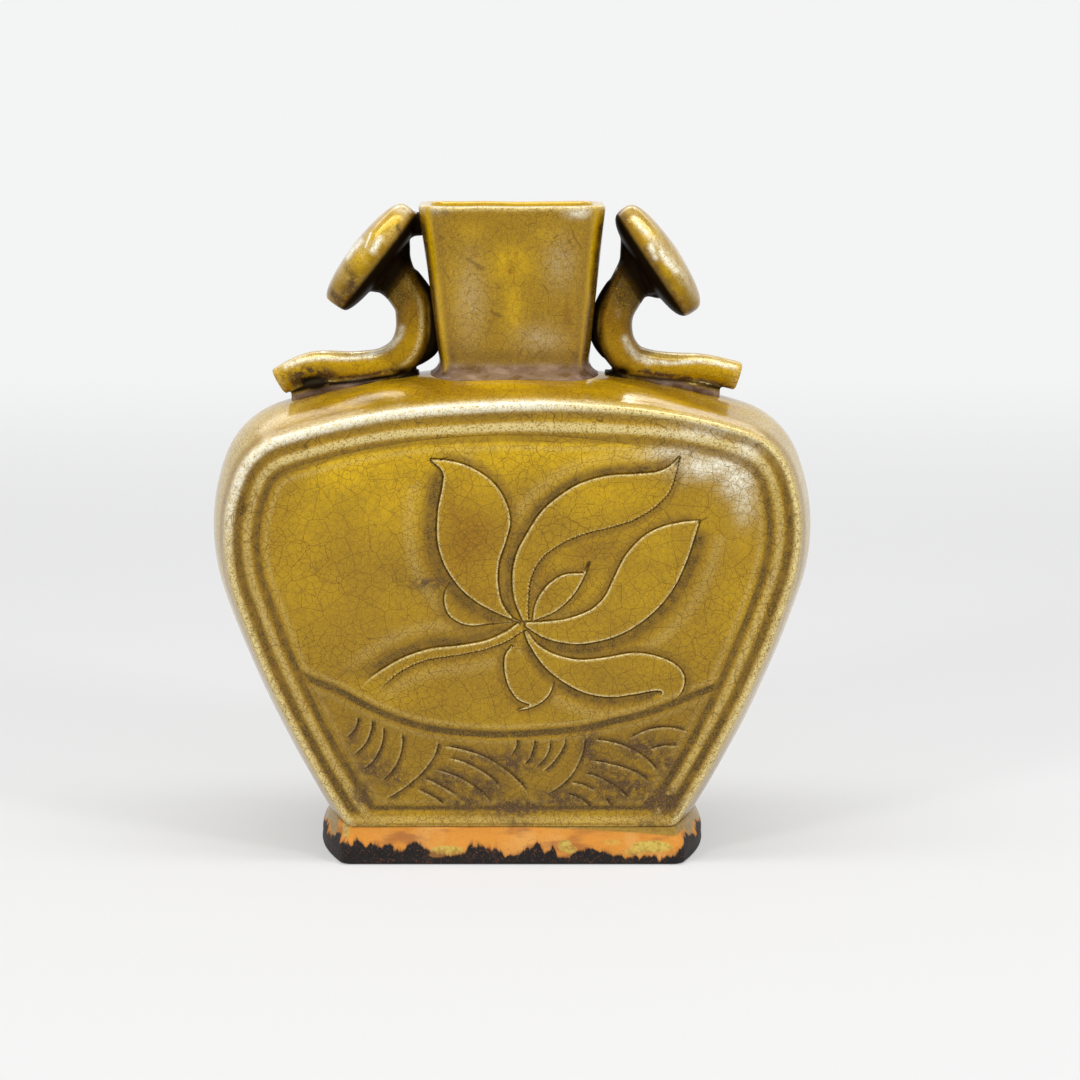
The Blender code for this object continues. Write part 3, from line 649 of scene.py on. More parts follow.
    def lotus(self, x: Array, z: Array) -> tuple[Array, ...]:
        """Petals that stay up, with the ground cut away round them.

        Args:
            x: places across.
            z: heights.

        Returns:
            Metres cut away, and the shares of pale edge and pooled brown, at each place.
        """
        places = np.column_stack([x, z])
        loops = {}
        for petal in LOTUS:
            edges = [self.trace(cut.spots) for cut in petal.cuts]
            if len(edges) > 1 and np.hypot(*(edges[1][-1] - edges[0][-1])) < 0.012:
                edges[1] = edges[1][::-1]
            loops[petal.name] = np.vstack(edges)
        inside = {name: encloses(loop, places) for name, loop in loops.items()}
        covered = np.any(list(inside.values()), axis=0)
        drop, thin, pool = (np.zeros(len(x)) for _ in range(3))
        for petal in LOTUS:
            under = np.any([inside[name] for name in petal.over], axis=0) if petal.over else False
            ground = ~inside[petal.name] & (~covered | under)
            for cut in petal.cuts:
                line = self.trace(cut.spots)
                near = nearness(places, line)
                fade, teeth = np.ones(len(x)), np.ones(len(x))
                if cut.runs_out:
                    fade = ease(1, 1 - cut.runs_out, near.along)
                gap = near.distance
                if cut.notched:
                    length = np.hypot(*np.diff(line, axis=0).T).sum()
                    teeth = np.abs(np.sin(near.along * length / self.tooth * math.pi))
                    gap = gap + self.tooth_depth * (1 - teeth) * swell(gap, 0.0008)
                slope = np.clip(1 - gap / cut.reach, 0, 1) ** 1.25
                knife = swell(gap - 0.0003, 0.00028)
                cutting = ease(0, self.wall, gap) * (cut.depth * slope + self.knife_drop * knife)
                drop = np.maximum(drop, cutting * fade * ground)
                broad = 0.8 if cut.reach > 0.0045 else 0.58
                broad = broad * ease(0.0, 0.09, near.along) * ease(1, 0.93, near.along)
                shade = 0.97 * swell(gap - 0.0003, 0.00042)
                shade = np.maximum(shade, broad * ease(cut.reach * 0.95, cut.reach * 0.4, gap))
                pool = np.maximum(pool, shade * fade * ground * ease(0, 0.00025, gap))
                hump = 0.15 * swell(gap - 1.25 * cut.reach, 0.002) * ~covered * (broad > 0.3)
                edge = swell(gap, self.lip) * np.where(inside[petal.name], 0.3 + 0.7 * teeth, gap < 0.00012)
                thin = np.maximum(thin, np.maximum(edge * fade, hump * fade * (cut.reach > 0.0045)))
        thin = thin * (1 - 0.9 * np.clip(pool, 0, 1))
        for spots in TICKS:
            near = nearness(places, self.trace(spots))
            tick = swell(near.distance, 0.00028) * ease(1, 0.6, near.along)
            drop, pool = drop + self.tick_drop * tick, np.maximum(pool, 0.9 * tick)
        return drop, thin, pool

    def bowl(self, x: Array, z: Array) -> tuple[Array, ...]:
        """The broad line under the flower, like a pond's near bank."""
        gap = nearness(np.column_stack([x, z]), self.bowl_line()).distance
        drop = self.bowl_drop * swell(gap, self.bowl_reach)
        return drop, 0.2 * swell(gap - 0.0027, 0.0007), 0.96 * ease(0.002, 0.0008, gap)

    def waves(self, x: Array, z: Array) -> tuple[Array, ...]:
        """Short curved cuts, each with the ground falling away on its bulging side.

        Args:
            x: places across.
            z: heights.

        Returns:
            Metres cut away, and the shares of pale edge and pooled brown, at each place.
        """
        places = np.column_stack([x, z])
        drop, thin, pool = (np.zeros(len(x)) for _ in range(3))
        low = z < 0.052
        for spots in WAVES:
            line = self.trace(spots)
            near = nearness(places[low], line)
            turn = np.cross(line[len(line) // 2] - line[0], line[-1] - line[0])
            outer = near.side * (1 if turn < 0 else -1) > 0
            ends = ease(0, 0.1, near.along) * ease(1, 0.85, near.along)
            beyond = np.where((near.along > 0.001) & (near.along < 0.999), ends, 0)
            gap = near.distance
            slope = np.clip(1 - gap / self.wave_reach, 0, 1)
            knife = swell(gap - 0.0003, 0.0003)
            fall = ease(0, self.wall, gap) * (self.wave_drop * slope + 0.0003 * knife) * outer
            drop[low] = np.maximum(drop[low], fall * beyond)
            fan = 0.86 * ease(self.wave_reach, 0.3 * self.wave_reach, gap)
            shade = np.maximum(0.97 * swell(gap - 0.00032, 0.00042), fan) * outer
            pool[low] = np.maximum(pool[low], shade * beyond)
            edge = swell(gap, 0.00045) * np.where(outer, gap < 0.00012, 1)
            thin[low] = np.maximum(thin[low], 0.9 * edge * beyond)
        bank = np.interp(x, *self.bowl_line().T)
        ground = ease(0, 0.003, bank - z) * ease(0.0165, 0.0195, z)
        pool = np.maximum(pool, 0.4 * ground)
        return drop, thin * (1 - 0.9 * ease(0.35, 0.8, pool)), pool


CARVING = PanelCarving()


@dataclass(frozen=True)
class HandFeel:
    """The slight unevenness of slabs pressed and smoothed by hand, always inwards."""

    amount: float = 0.0003
    lengths: tuple[float, ...] = (0.071, 0.043, 0.029)
    full_turn: float = 6.28

    def waver(self, x: Array, y: Array, z: Array, turn: float) -> Array:
        """Slow waves through space, from 0 to 1.

        Args:
            x: places across.
            y: depths.
            z: heights.
            turn: another number gives other waves.

        Returns:
            The waves at each place.
        """
        total = np.zeros(len(x))
        for order, length in enumerate(self.lengths):
            phase = turn + 1.7 * order
            total += np.sin((x * 1.0 + z * 0.8) / length * self.full_turn + phase)
            total += np.sin((z * 1.1 - y * 0.9 - x * 0.3) / length * self.full_turn + 2 * phase)
        return 0.5 + total / (4 * len(self.lengths))

    def press(self, places: Array) -> Array:
        """Moves places inwards by an uneven amount.

        Args:
            places: one (x, y, z) row for each vertex.

        Returns:
            The moved places.
        """
        x, y, z = places.T
        moved = places.copy()
        moved[:, 0] -= np.sign(x) * ease(0.02, 0.06, np.abs(x)) * self.amount * self.waver(x, y, z, 0.4)
        moved[:, 1] -= np.sign(y) * ease(0.01, 0.025, np.abs(y)) * self.amount * self.waver(x, y, z, 2.1)
        moved[:, 2] -= ease(0.03, 0.06, z) * self.amount * self.waver(x, y, z, 3.3)
        return moved


HAND = HandFeel()


def vertex_places(mesh: Mesh) -> Array:
    """Every vertex of a mesh, one (x, y, z) row each."""
    flat = np.empty(len(mesh.vertices) * 3, np.float32)
    mesh.vertices.foreach_get("co", flat)
    return flat.reshape(-1, 3).astype(float)


def move_vertices(mesh: Mesh, places: Array) -> None:
    """Puts the vertices of a mesh at new places."""
    mesh.vertices.foreach_set("co", places.astype(np.float32).ravel())
    mesh.update()


def write_number(mesh: Mesh, name: str, values: Array) -> None:
    """Writes a number for each vertex as an attribute that materials read."""
    layer = mesh.attributes.get(name) or mesh.attributes.new(name, "FLOAT", "POINT")
    layer.data.foreach_set("value", np.ascontiguousarray(values, np.float32))


def paint(mesh: Mesh, **tones: Array) -> None:
    """Writes tones for each vertex, each held between 0 and 1."""
    for name, values in tones.items():
        write_number(mesh, name, np.clip(values, 0, 1))


def hollows(mesh: Mesh, reach: float) -> Array:
    """How deep each vertex lies below its surroundings, with outer edges negative.

    Args:
        mesh: a mesh of fairly even spacing.
        reach: how far the surroundings reach.

    Returns:
        The depth at each vertex, in metres.
    """
    places = vertex_places(mesh)
    ends = np.empty(len(mesh.edges) * 2, np.int32)
    mesh.edges.foreach_get("vertices", ends)
    ends = ends.reshape(-1, 2)
    count = np.bincount(ends.ravel(), minlength=len(places)).clip(1)[:, None]
    spacing = np.median(np.linalg.norm(places[ends[:, 0]] - places[ends[:, 1]], axis=1))
    smooth = places.copy()
    for _ in range(max(1, int((reach / spacing) ** 2))):
        total = np.zeros_like(smooth)
        for axis in range(3):
            total[:, axis] += np.bincount(ends[:, 0], smooth[ends[:, 1], axis], len(places))
            total[:, axis] += np.bincount(ends[:, 1], smooth[ends[:, 0], axis], len(places))
        smooth += 0.5 * (total / count - smooth)
    normals = np.empty(len(mesh.vertices) * 3, np.float32)
    mesh.vertices.foreach_get("normal", normals)
    return ((smooth - places) * normals.reshape(-1, 3)).sum(1)


def only(items: Iterable, kind: type | tuple[type, ...]) -> list:
    """The items of one kind, or a few, among those that an operator gives back."""
    return [item for item in items if isinstance(item, kind)]


def skin_rings(bm: BMesh, rings: Sequence[Sequence[Triple]], capped: bool) -> None:
    """Extrudes the first ring through the places of all the others.

    Args:
        bm: where the skin is made.
        rings: the rings' places, as many in each and in the same order round it.
        capped: True closes both ends, and False joins the last ring to the first.
    """
    verts = first = [bm.verts.new(place) for place in rings[0]]
    edges = [bm.edges.new(pair) for pair in zip(verts, verts[1:] + verts[:1])]
    for ring in [*rings[1:]] if capped else [*rings[1:], rings[0]]:
        grown = bmesh.ops.extrude_edge_only(bm, edges=edges)["geom"]
        order = {vert: index for index, vert in enumerate(verts)}
        verts = [None] * len(ring)
        for vert in only(grown, BMVert):
            ends = (edge.other_vert(vert) for edge in vert.link_edges)
            place = next(order[end] for end in ends if end in order)
            vert.co = ring[place]
            verts[place] = vert
        fresh = set(verts)
        edges = [edge for edge in only(grown, BMEdge) if fresh.issuperset(edge.verts)]
    if capped:
        bm.faces.new(first)
        bm.faces.new(verts)
    else:
        bmesh.ops.remove_doubles(bm, verts=first + verts, dist=1e-6)


def rounded_plan(half_x: float, half_y: float, radius: float, count: int) -> Array:
    """Evenly spaced points round a rectangle with rounded corners.

    Args:
        half_x: half the distance between the corners' centres along X.
        half_y: the same along Y.
        radius: the corners' radius.
        count: how many points.

    Returns:
        The row of x and the row of y.
    """
    lengths = [2 * half_y, math.pi / 2 * radius, 2 * half_x, math.pi / 2 * radius] * 2
    points = []
    for step in range(count):
        walked = step / count * sum(lengths)
        for index, length in enumerate(lengths):
            if walked <= length or index == len(lengths) - 1:
                break
            walked -= length
        turn = index // 2
        side, other = (half_x, half_y) if turn % 2 else (half_y, half_x)
        local = Vector((other + radius, walked - side))
        if index % 2:
            angle = walked / radius
            local = Vector((other + radius * math.cos(angle), side + radius * math.sin(angle)))
        points.append(tuple(Matrix.Rotation(turn * math.pi / 2, 2) @ local))
    return np.array(points).T


def mesh_of(bm: BMesh, name: str) -> Mesh:
    """Ends a bmesh as a smooth mesh whose faces point outwards.

    Args:
        bm: the finished shape, freed here.
        name: the mesh's name.

    Returns:
        The mesh.
    """
    bmesh.ops.recalc_face_normals(bm, faces=bm.faces)
    mesh = bpy.data.meshes.new(name)
    bm.to_mesh(mesh)
    bm.free()
    mesh.shade_smooth()
    return mesh


def place_piece(mesh: Mesh, material: Material, nodes: Iterable[str] = ()) -> Object:
    """Puts a finished mesh in the scene on the vase's one body.

    Args:
        mesh: the mesh, in its place; its name becomes the piece's.
        material: its finish.
        nodes: solids that it stands for.

    Returns:
        The new object.
    """
    piece = put_in_scene(mesh.name, mesh)
    mesh.materials.clear()
    mesh.materials.append(material)
    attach(piece, "root")
    if nodes:
        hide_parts(*nodes)
    LOG.info("%s: %d faces", mesh.name, len(mesh.polygons))
    return piece


def share_faces(mesh: Mesh, second: Material, chosen: Array) -> None:
    """Gives a second material to the faces whose vertices are all chosen."""
    mesh.materials.append(second)
    for face in mesh.polygons:
        face.material_index = int(all(chosen[corner] for corner in face.vertices))


def turned_round(mesh: Mesh, name: str) -> Mesh:
    """Copy of a mesh turned half round the vase's axis."""
    copy = mesh.copy()
    copy.name = name
    copy.transform(Matrix.Rotation(math.pi, 4, "Z"))
    return copy


def evaluated_mesh(mesh: Mesh, *modifiers: Callable[[Object], None]) -> Mesh:
    """Applies modifiers to a mesh.

    Args:
        mesh: the mesh, which isn't kept.
        modifiers: functions that each add a modifier to an object.

    Returns:
        The new mesh, under the same name.
    """
    name = mesh.name
    holder = put_in_scene("holder", mesh)
    for add in modifiers:
        add(holder)
    bpy.context.view_layer.update()
    graph = bpy.context.evaluated_depsgraph_get()
    made = bpy.data.meshes.new_from_object(holder.evaluated_get(graph))
    bpy.data.objects.remove(holder, do_unlink=True)
    bpy.data.meshes.remove(mesh)
    made.name = name
    return made


class Blend(Enum):
    """How two colours are joined."""

    MIX = "MIX"
    MULTIPLY = "MULTIPLY"


class Wiring:
    """Adds nodes to a node tree one call at a time."""

    def __init__(self, tree: NodeTree) -> None:
        """Takes the tree that the nodes go into."""
        self.tree = tree

    def add(self, kind: str, feeds: dict[str | int, object] | None = None, **settings: object) -> Node:
        """Adds a shader node with its settings, and links or sets its sockets.

        Args:
            kind: the node's type, without ShaderNode.
            feeds: socket or value for each input.
            settings: the node's own settings.

        Returns:
            The node.
        """
        node = self.tree.nodes.new(f"ShaderNode{kind}")
        for key, value in settings.items():
            setattr(node, key, value)
        for key, value in (feeds or {}).items():
            self.feed(node.inputs[key], value)
        return node

    def feed(self, socket: NodeSocket, value: object) -> None:
        """Links or sets a socket.

        Args:
            socket: the input.
            value: a socket to link, or a value to set.
        """
        if isinstance(value, NodeSocket):
            self.tree.links.new(value, socket)
        elif isinstance(value, tuple) and len(value) == 3 and len(socket.default_value) == 4:
            socket.default_value = (*value, 1)
        else:
            socket.default_value = value

    def math(self, operation: str, *values: object, clamp: bool = False) -> NodeSocket:
        """One step of arithmetic."""
        return self.add("Math", dict(enumerate(values)), operation=operation, use_clamp=clamp).outputs[0]

    def shown(self) -> NodeSocket:
        """1 on rays from the camera, off gloss and through glass, and 0 on the light that falls."""
        rays = self.add("LightPath").outputs
        seen = self.math("ADD", rays["Is Camera Ray"], rays["Is Glossy Ray"])
        return self.math("ADD", seen, rays["Is Transmission Ray"], clamp=True)


class Painter(Wiring):
    """Builds a material's nodes."""

    def __init__(self, name: str) -> None:
        """Starts a material with an empty Principled shader.

        Args:
            name: the material's name.
        """
        self.material = bpy.data.materials.new(name)
        self.material.use_nodes = True
        super().__init__(self.material.node_tree)
        self.shader = self.tree.nodes["Principled BSDF"]
        self.place = self.add("TexCoord").outputs["Object"]

    def band(
        self, value: object, low: float, high: float, out_low: float = 0, out_high: float = 1
    ) -> NodeSocket:
        """Eases a value from one range into another.

        Args:
            value: the socket.
            low: start of its range; it may lie above high.
            high: end of its range.
            out_low: result at low.
            out_high: result at high.

        Returns:
            The eased socket.
        """
        if low > high:
            low, high, out_low, out_high = high, low, out_high, out_low
        feeds = {"From Min": low, "From Max": high, "To Min": out_low, "To Max": out_high, "Value": value}
        return self.add("MapRange", feeds, interpolation_type="SMOOTHSTEP").outputs["Result"]

    def noise(
        self, size: float, detail: float = 2, at: object = None, roughness: float = 0.5
    ) -> NodeSocket:
        """Cloudy noise whose lumps are about size across."""
        feeds = {"Vector": at or self.place, "Scale": 1 / size}
        return self.add("TexNoise", {**feeds, "Detail": float(detail), "Roughness": roughness}).outputs["Fac"]

    def mapped(self, at: object, **changes: Triple) -> NodeSocket:
        """A place with its Rotation or its Scale changed."""
        return self.add("Mapping", {"Vector": at, **changes}).outputs["Vector"]

    def pushed(self, at: object, by: object, reach: float) -> NodeSocket:
        """A place pushed by a colour, up to reach along each axis."""
        feeds = {0: by, 1: (reach, reach, reach), 2: at}
        return self.add("VectorMath", feeds, operation="MULTIPLY_ADD").outputs["Vector"]

    def warped(self, size: float, amount: float, at: object) -> NodeSocket:
        """A place pushed about by noise."""
        noise = self.add("TexNoise", {"Vector": at, "Scale": 1 / size})
        return self.pushed(at, noise.outputs["Color"], amount)

    def scattered(self, at: object, owner: object, reach: float) -> NodeSocket:
        """Places moved far, each by its owner's colour, and leant its own way before they are stretched.

        Args:
            at: the places.
            owner: colour of each place's cell.
            reach: how far they are moved.

        Returns:
            The moved places.
        """
        parts = self.add("SeparateXYZ", {0: owner})
        angle = self.math("MULTIPLY", parts.outputs["X"], math.pi)
        feeds = {"Vector": self.pushed(at, owner, reach), "Angle": angle}
        turn = self.add("VectorRotate", feeds, rotation_type="Z_AXIS")
        return self.mapped(turn.outputs["Vector"], Scale=(0.85, 1.3, 1.0))

    def cells(
        self, size: float, feature: str, at: object, randomness: float = 1.0, flat: bool = False
    ) -> Node:
        """Voronoi cells about size across, in space or on a plane."""
        feeds = {"Vector": at, "Scale": 1 / size, "Randomness": randomness}
        return self.add("TexVoronoi", feeds, feature=feature, voronoi_dimensions="2D" if flat else "3D")

    def painted(self, name: str) -> NodeSocket:
        """A number that the mesh carries."""
        return self.add("Attribute", attribute_name=name).outputs["Fac"]

    def mix(
        self, share: object, first: object, second: object, blend: Blend = Blend.MIX
    ) -> NodeSocket:
        """Joins two colours."""
        feeds = {0: share, 6: first, 7: second}
        return self.add("Mix", feeds, data_type="RGBA", blend_type=blend.value).outputs[2]

    def dapple(
        self, tone: object, colour: object, cloud: object, low: float, high: float, share: float
    ) -> NodeSocket:
        """Lays a colour over a tone where a cloud runs from low to high, up to a share."""
        return self.mix(self.band(cloud, low, high, 0, share), tone, colour)

    def raise_bumps(self, height: object, strength: float, distance: float) -> None:
        """Gives the shader a fine relief."""
        node = self.add("Bump", {"Height": height, "Strength": strength, "Distance": distance})
        self.feed(self.shader.inputs["Normal"], node.outputs["Normal"])


@dataclass(frozen=True)
class CrackleGlaze:
    """Glossy ash glaze with a net of fine brown cracks, pale where thin, brown where pooled, with painted
    highlights and shade.

    Attributes:
        name: the material's name.
        cell: width of the smaller crackle cells.
        flat: the net is laid out on the plane of the face, where a net in space would smear.
        line_share: strength of the cracks.
        gloss: index of refraction, lower for the dull glaze on painted shade and bare slip.
    """

    name: str
    body: Colour = (0.325, 0.182, 0.005)
    gold: Colour = (0.65, 0.40, 0.001)
    amber: Colour = (0.25, 0.105, 0.0)
    pale: Colour = (0.78, 0.655, 0.31)
    # glare: near-white of the painted highlights and painted sheen.
    glare: Colour = (0.87, 0.85, 0.74)
    umber: Colour = (0.175, 0.088, 0.008)
    brown: Colour = (0.06, 0.03, 0.006)
    iron: Colour = (0.075, 0.035, 0.018)
    slip: Colour = (0.17, 0.11, 0.085)
    slip_pale: Colour = (0.34, 0.24, 0.18)
    # soot: near black of the painted shade on the handles; under the caps it also stands for dark iron glaze.
    soot: Colour = (0.006, 0.003, 0.001)
    crack: Colour = (0.25, 0.16, 0.06)
    sheen: Colour = (1.0, 0.84, 0.48)
    cell: float = 0.0032
    flat: bool = False
    line_share: float = 0.85
    roughness: float = 0.1
    gloss: float = 1.56

    def make(self) -> Material:
        """Builds the material, which reads the tones painted on a mesh.

        Returns:
            The material.
        """
        p = Painter(self.name)
        lines = self.cracks(p)
        grain = p.noise(0.00055, 2)
        tone = self.ground(p)
        ragged = p.band(p.noise(0.003, 3), 0.15, 0.55, 0.7, 1)
        thin = p.math("MULTIPLY", p.painted("thin"), ragged, clamp=True)
        pale = p.dapple(self.pale, self.body, grain, 0.46, 0.64, 0.7)
        tone = p.mix(thin, tone, pale)
        # Painted highlights and sheen: the tone runs to near-white glare where the mesh carries pale.
        glare = p.dapple(self.glare, self.pale, grain, 0.44, 0.62, 0.7)
        ragged = p.band(p.noise(0.0018, 3), 0.3, 0.6, 0.55, 1.15)
        tone = p.mix(p.math("MULTIPLY", p.painted("pale"), ragged, clamp=True), tone, glare)
        # Pool is glaze pooled in hollows; on the handles and the neck's sides it also carries painted shade.
        patchy = p.band(p.noise(0.004, 3), 0.15, 0.7, 0.75, 1.1)
        pooled = p.math("MULTIPLY", p.painted("pool"), patchy)
        grainy = p.math("MULTIPLY", p.band(grain, 0.35, 0.7, 0.24, -0.24), pooled)
        pooled = p.math("ADD", pooled, grainy, clamp=True)
        tone = p.mix(pooled, tone, self.umber)
        tone = p.dapple(tone, self.brown, pooled, 0.74, 1.0, 0.95)
        ragged = p.band(p.noise(0.0026, 3), 0.34, 0.55, 0.2, 1.5)
        rusty = p.math("MULTIPLY", p.painted("brown"), ragged, clamp=True)
        tone = p.mix(rusty, tone, self.iron)
        seen = p.math("MULTIPLY", lines, p.band(p.painted("calm"), 0, 1, self.line_share, 0.05))
        tone = p.mix(seen, tone, self.crack, Blend.MULTIPLY)
        tone = p.dapple(tone, self.umber, grain, 0.54, 0.7, 0.5)
        tone = p.dapple(tone, self.gold, grain, 0.44, 0.32, 0.3)
        pins = p.cells(0.0024, "F1", p.place).outputs["Distance"]
        tone = p.mix(p.math("MULTIPLY", p.band(pins, 0.095, 0.045), 0.75), tone, self.brown)
        tone = p.mix(p.painted("slip"), tone, self.slurry(p))
        # Painted shade: near black where the mesh carries it.
        tone = p.mix(p.painted("soot"), tone, self.soot)
        p.feed(p.shader.inputs["Base Color"], tone)
        p.feed(p.shader.inputs["Roughness"], p.band(grain, 0.35, 0.7, self.roughness, self.roughness + 0.07))
        p.feed(p.shader.inputs["IOR"], self.gloss)
        p.feed(p.shader.inputs["Specular Tint"], self.sheen)
        skin = p.math("ADD", p.math("MULTIPLY", seen, -0.3), p.noise(0.0024, 2))
        p.raise_bumps(p.math("ADD", skin, p.math("MULTIPLY", grain, 0.3)), 0.4, 0.00012)
        return p.material

    def ground(self, p: Painter) -> NodeSocket:
        """The glaze's own colour: khaki, running to gold and deep amber where it lies thick.

        Args:
            p: the material's painter.

        Returns:
            The colour.
        """
        tone = p.dapple(self.body, self.gold, p.noise(0.024, 3), 0.42, 0.68, 0.22)
        ragged = p.band(p.noise(0.009, 3), 0.3, 0.65, 0.8, 1.1)
        tone = p.mix(p.math("MULTIPLY", p.painted("gold"), ragged, clamp=True), tone, self.gold)
        tone = p.mix(p.math("MULTIPLY", p.painted("amber"), ragged, clamp=True), tone, self.amber)
        tone = p.dapple(tone, self.umber, p.noise(0.0016, 2), 0.45, 0.72, 0.26)
        return p.dapple(tone, self.umber, p.noise(0.013, 3), 0.52, 0.78, 0.3)

    def slurry(self, p: Painter) -> NodeSocket:
        """The greyish slip in the joints, blotched pale and near black."""
        blotch = p.noise(0.0035, 3, p.mapped(p.place, Scale=(0.5, 1, 1)))
        tone = p.dapple(self.slip, self.slip_pale, blotch, 0.5, 0.66, 0.7)
        return p.dapple(tone, self.iron, blotch, 0.47, 0.36, 0.8)

    def cracks(self, p: Painter) -> NodeSocket:
        """The net of cracks: a few long ones, and short ones that split the cells between them.

        Args:
            p: the material's painter.

        Returns:
            How strongly each place is cracked.
        """
        lean = math.radians(22)
        angles, scale = (0, lean, 0), (1.0, 1.0, 1.12)
        if self.flat:
            angles, scale = (math.pi / 2, 0, lean), (1.0, 1.12, 1.0)
        leant = p.mapped(p.mapped(p.place, Rotation=angles), Scale=scale)
        at = p.warped(0.012, 0.0014, leant)
        wide = p.cells(self.cell * 2.4, "DISTANCE_TO_EDGE", at, 0.95, self.flat).outputs["Distance"]
        owner = p.cells(self.cell * 2.4, "F1", at, 0.95, self.flat).outputs["Color"]
        own_place = p.scattered(p.warped(0.0035, 0.0007, at), owner, 0.06)
        narrow = p.cells(self.cell * 0.95, "DISTANCE_TO_EDGE", own_place, 0.9, self.flat).outputs["Distance"]
        strength = p.band(p.noise(0.018, 2), 0.35, 0.62, 0.45, 1.0)
        first = p.math("MULTIPLY", p.band(wide, 0.016, 0.004), 0.95)
        second = p.math("MULTIPLY", p.band(narrow, 0.042, 0.01), strength)
        return p.math("MAXIMUM", first, second)


@dataclass(frozen=True)
class BareClay:
    """Unglazed stoneware that fired orange, washed with iron that stops at a ragged line."""

    name: str
    orange: Colour = (0.68, 0.275, 0.035)
    peach: Colour = (0.72, 0.37, 0.10)
    rust: Colour = (0.33, 0.11, 0.03)
    wash: Colour = (0.005, 0.004, 0.004)
    brown: Colour = (0.055, 0.026, 0.013)
    drip: Colour = (0.62, 0.46, 0.09)
    drip_dark: Colour = (0.3, 0.17, 0.02)
    glaze: Colour = (0.36, 0.22, 0.03)
    glaze_dark: Colour = (0.14, 0.08, 0.015)
    gloss: float = 1.35

    def make(self) -> Material:
        """Builds the material, which reads how far places lie above the wash's line, drips and glaze.

        Returns:
            The material.
        """
        p = Painter(self.name)
        streaks = p.noise(0.003, 3, p.mapped(p.place, Scale=(1, 1, 0.4)))
        fine = p.noise(0.0009, 2, p.mapped(p.place, Scale=(1, 1, 0.3)))
        tone = p.dapple(self.orange, self.peach, p.noise(0.009, 3), 0.45, 0.68, 0.6)
        level = p.noise(0.006, 3, p.mapped(p.place, Scale=(0.5, 1, 1.6)))
        tone = p.dapple(tone, self.rust, level, 0.5, 0.74, 0.75)
        drip = p.dapple(self.drip, self.drip_dark, p.noise(0.0015, 2), 0.4, 0.7, 0.7)
        tone = p.mix(p.painted("drip"), tone, drip)
        reach = p.math("ADD", p.painted("wash_height"), p.band(streaks, 0.3, 0.7, 0.0010, -0.0011))
        reach = p.math("ADD", reach, p.band(fine, 0.3, 0.7, 0.0003, -0.0003))
        scorched = p.mix(p.band(reach, -0.0008, 0.0018, 0.7, 0), tone, self.rust)
        wash = p.dapple(self.wash, self.brown, p.noise(0.004, 3), 0.52, 0.74, 0.35)
        bare = p.math("SUBTRACT", 1.0, p.math("MULTIPLY", p.painted("drip"), 0.92))
        tone = p.mix(p.math("MULTIPLY", p.band(reach, 0.0006, -0.0006), bare), scorched, wash)
        glazed = p.dapple(self.glaze, self.glaze_dark, p.noise(0.0012, 3), 0.4, 0.7, 0.5)
        tone = p.mix(p.painted("glaze"), tone, glazed)
        grain = p.noise(0.0006, 3)
        tone = p.dapple(tone, self.rust, grain, 0.55, 0.75, 0.4)
        p.feed(p.shader.inputs["Base Color"], tone)
        wet = p.math("MAXIMUM", p.painted("drip"), p.painted("glaze"))
        p.feed(p.shader.inputs["Roughness"], p.band(wet, 0, 1, 0.6, 0.2))
        p.feed(p.shader.inputs["IOR"], self.gloss)
        p.raise_bumps(p.math("ADD", grain, p.noise(0.0025, 3)), 0.6, 0.00025)
        return p.material


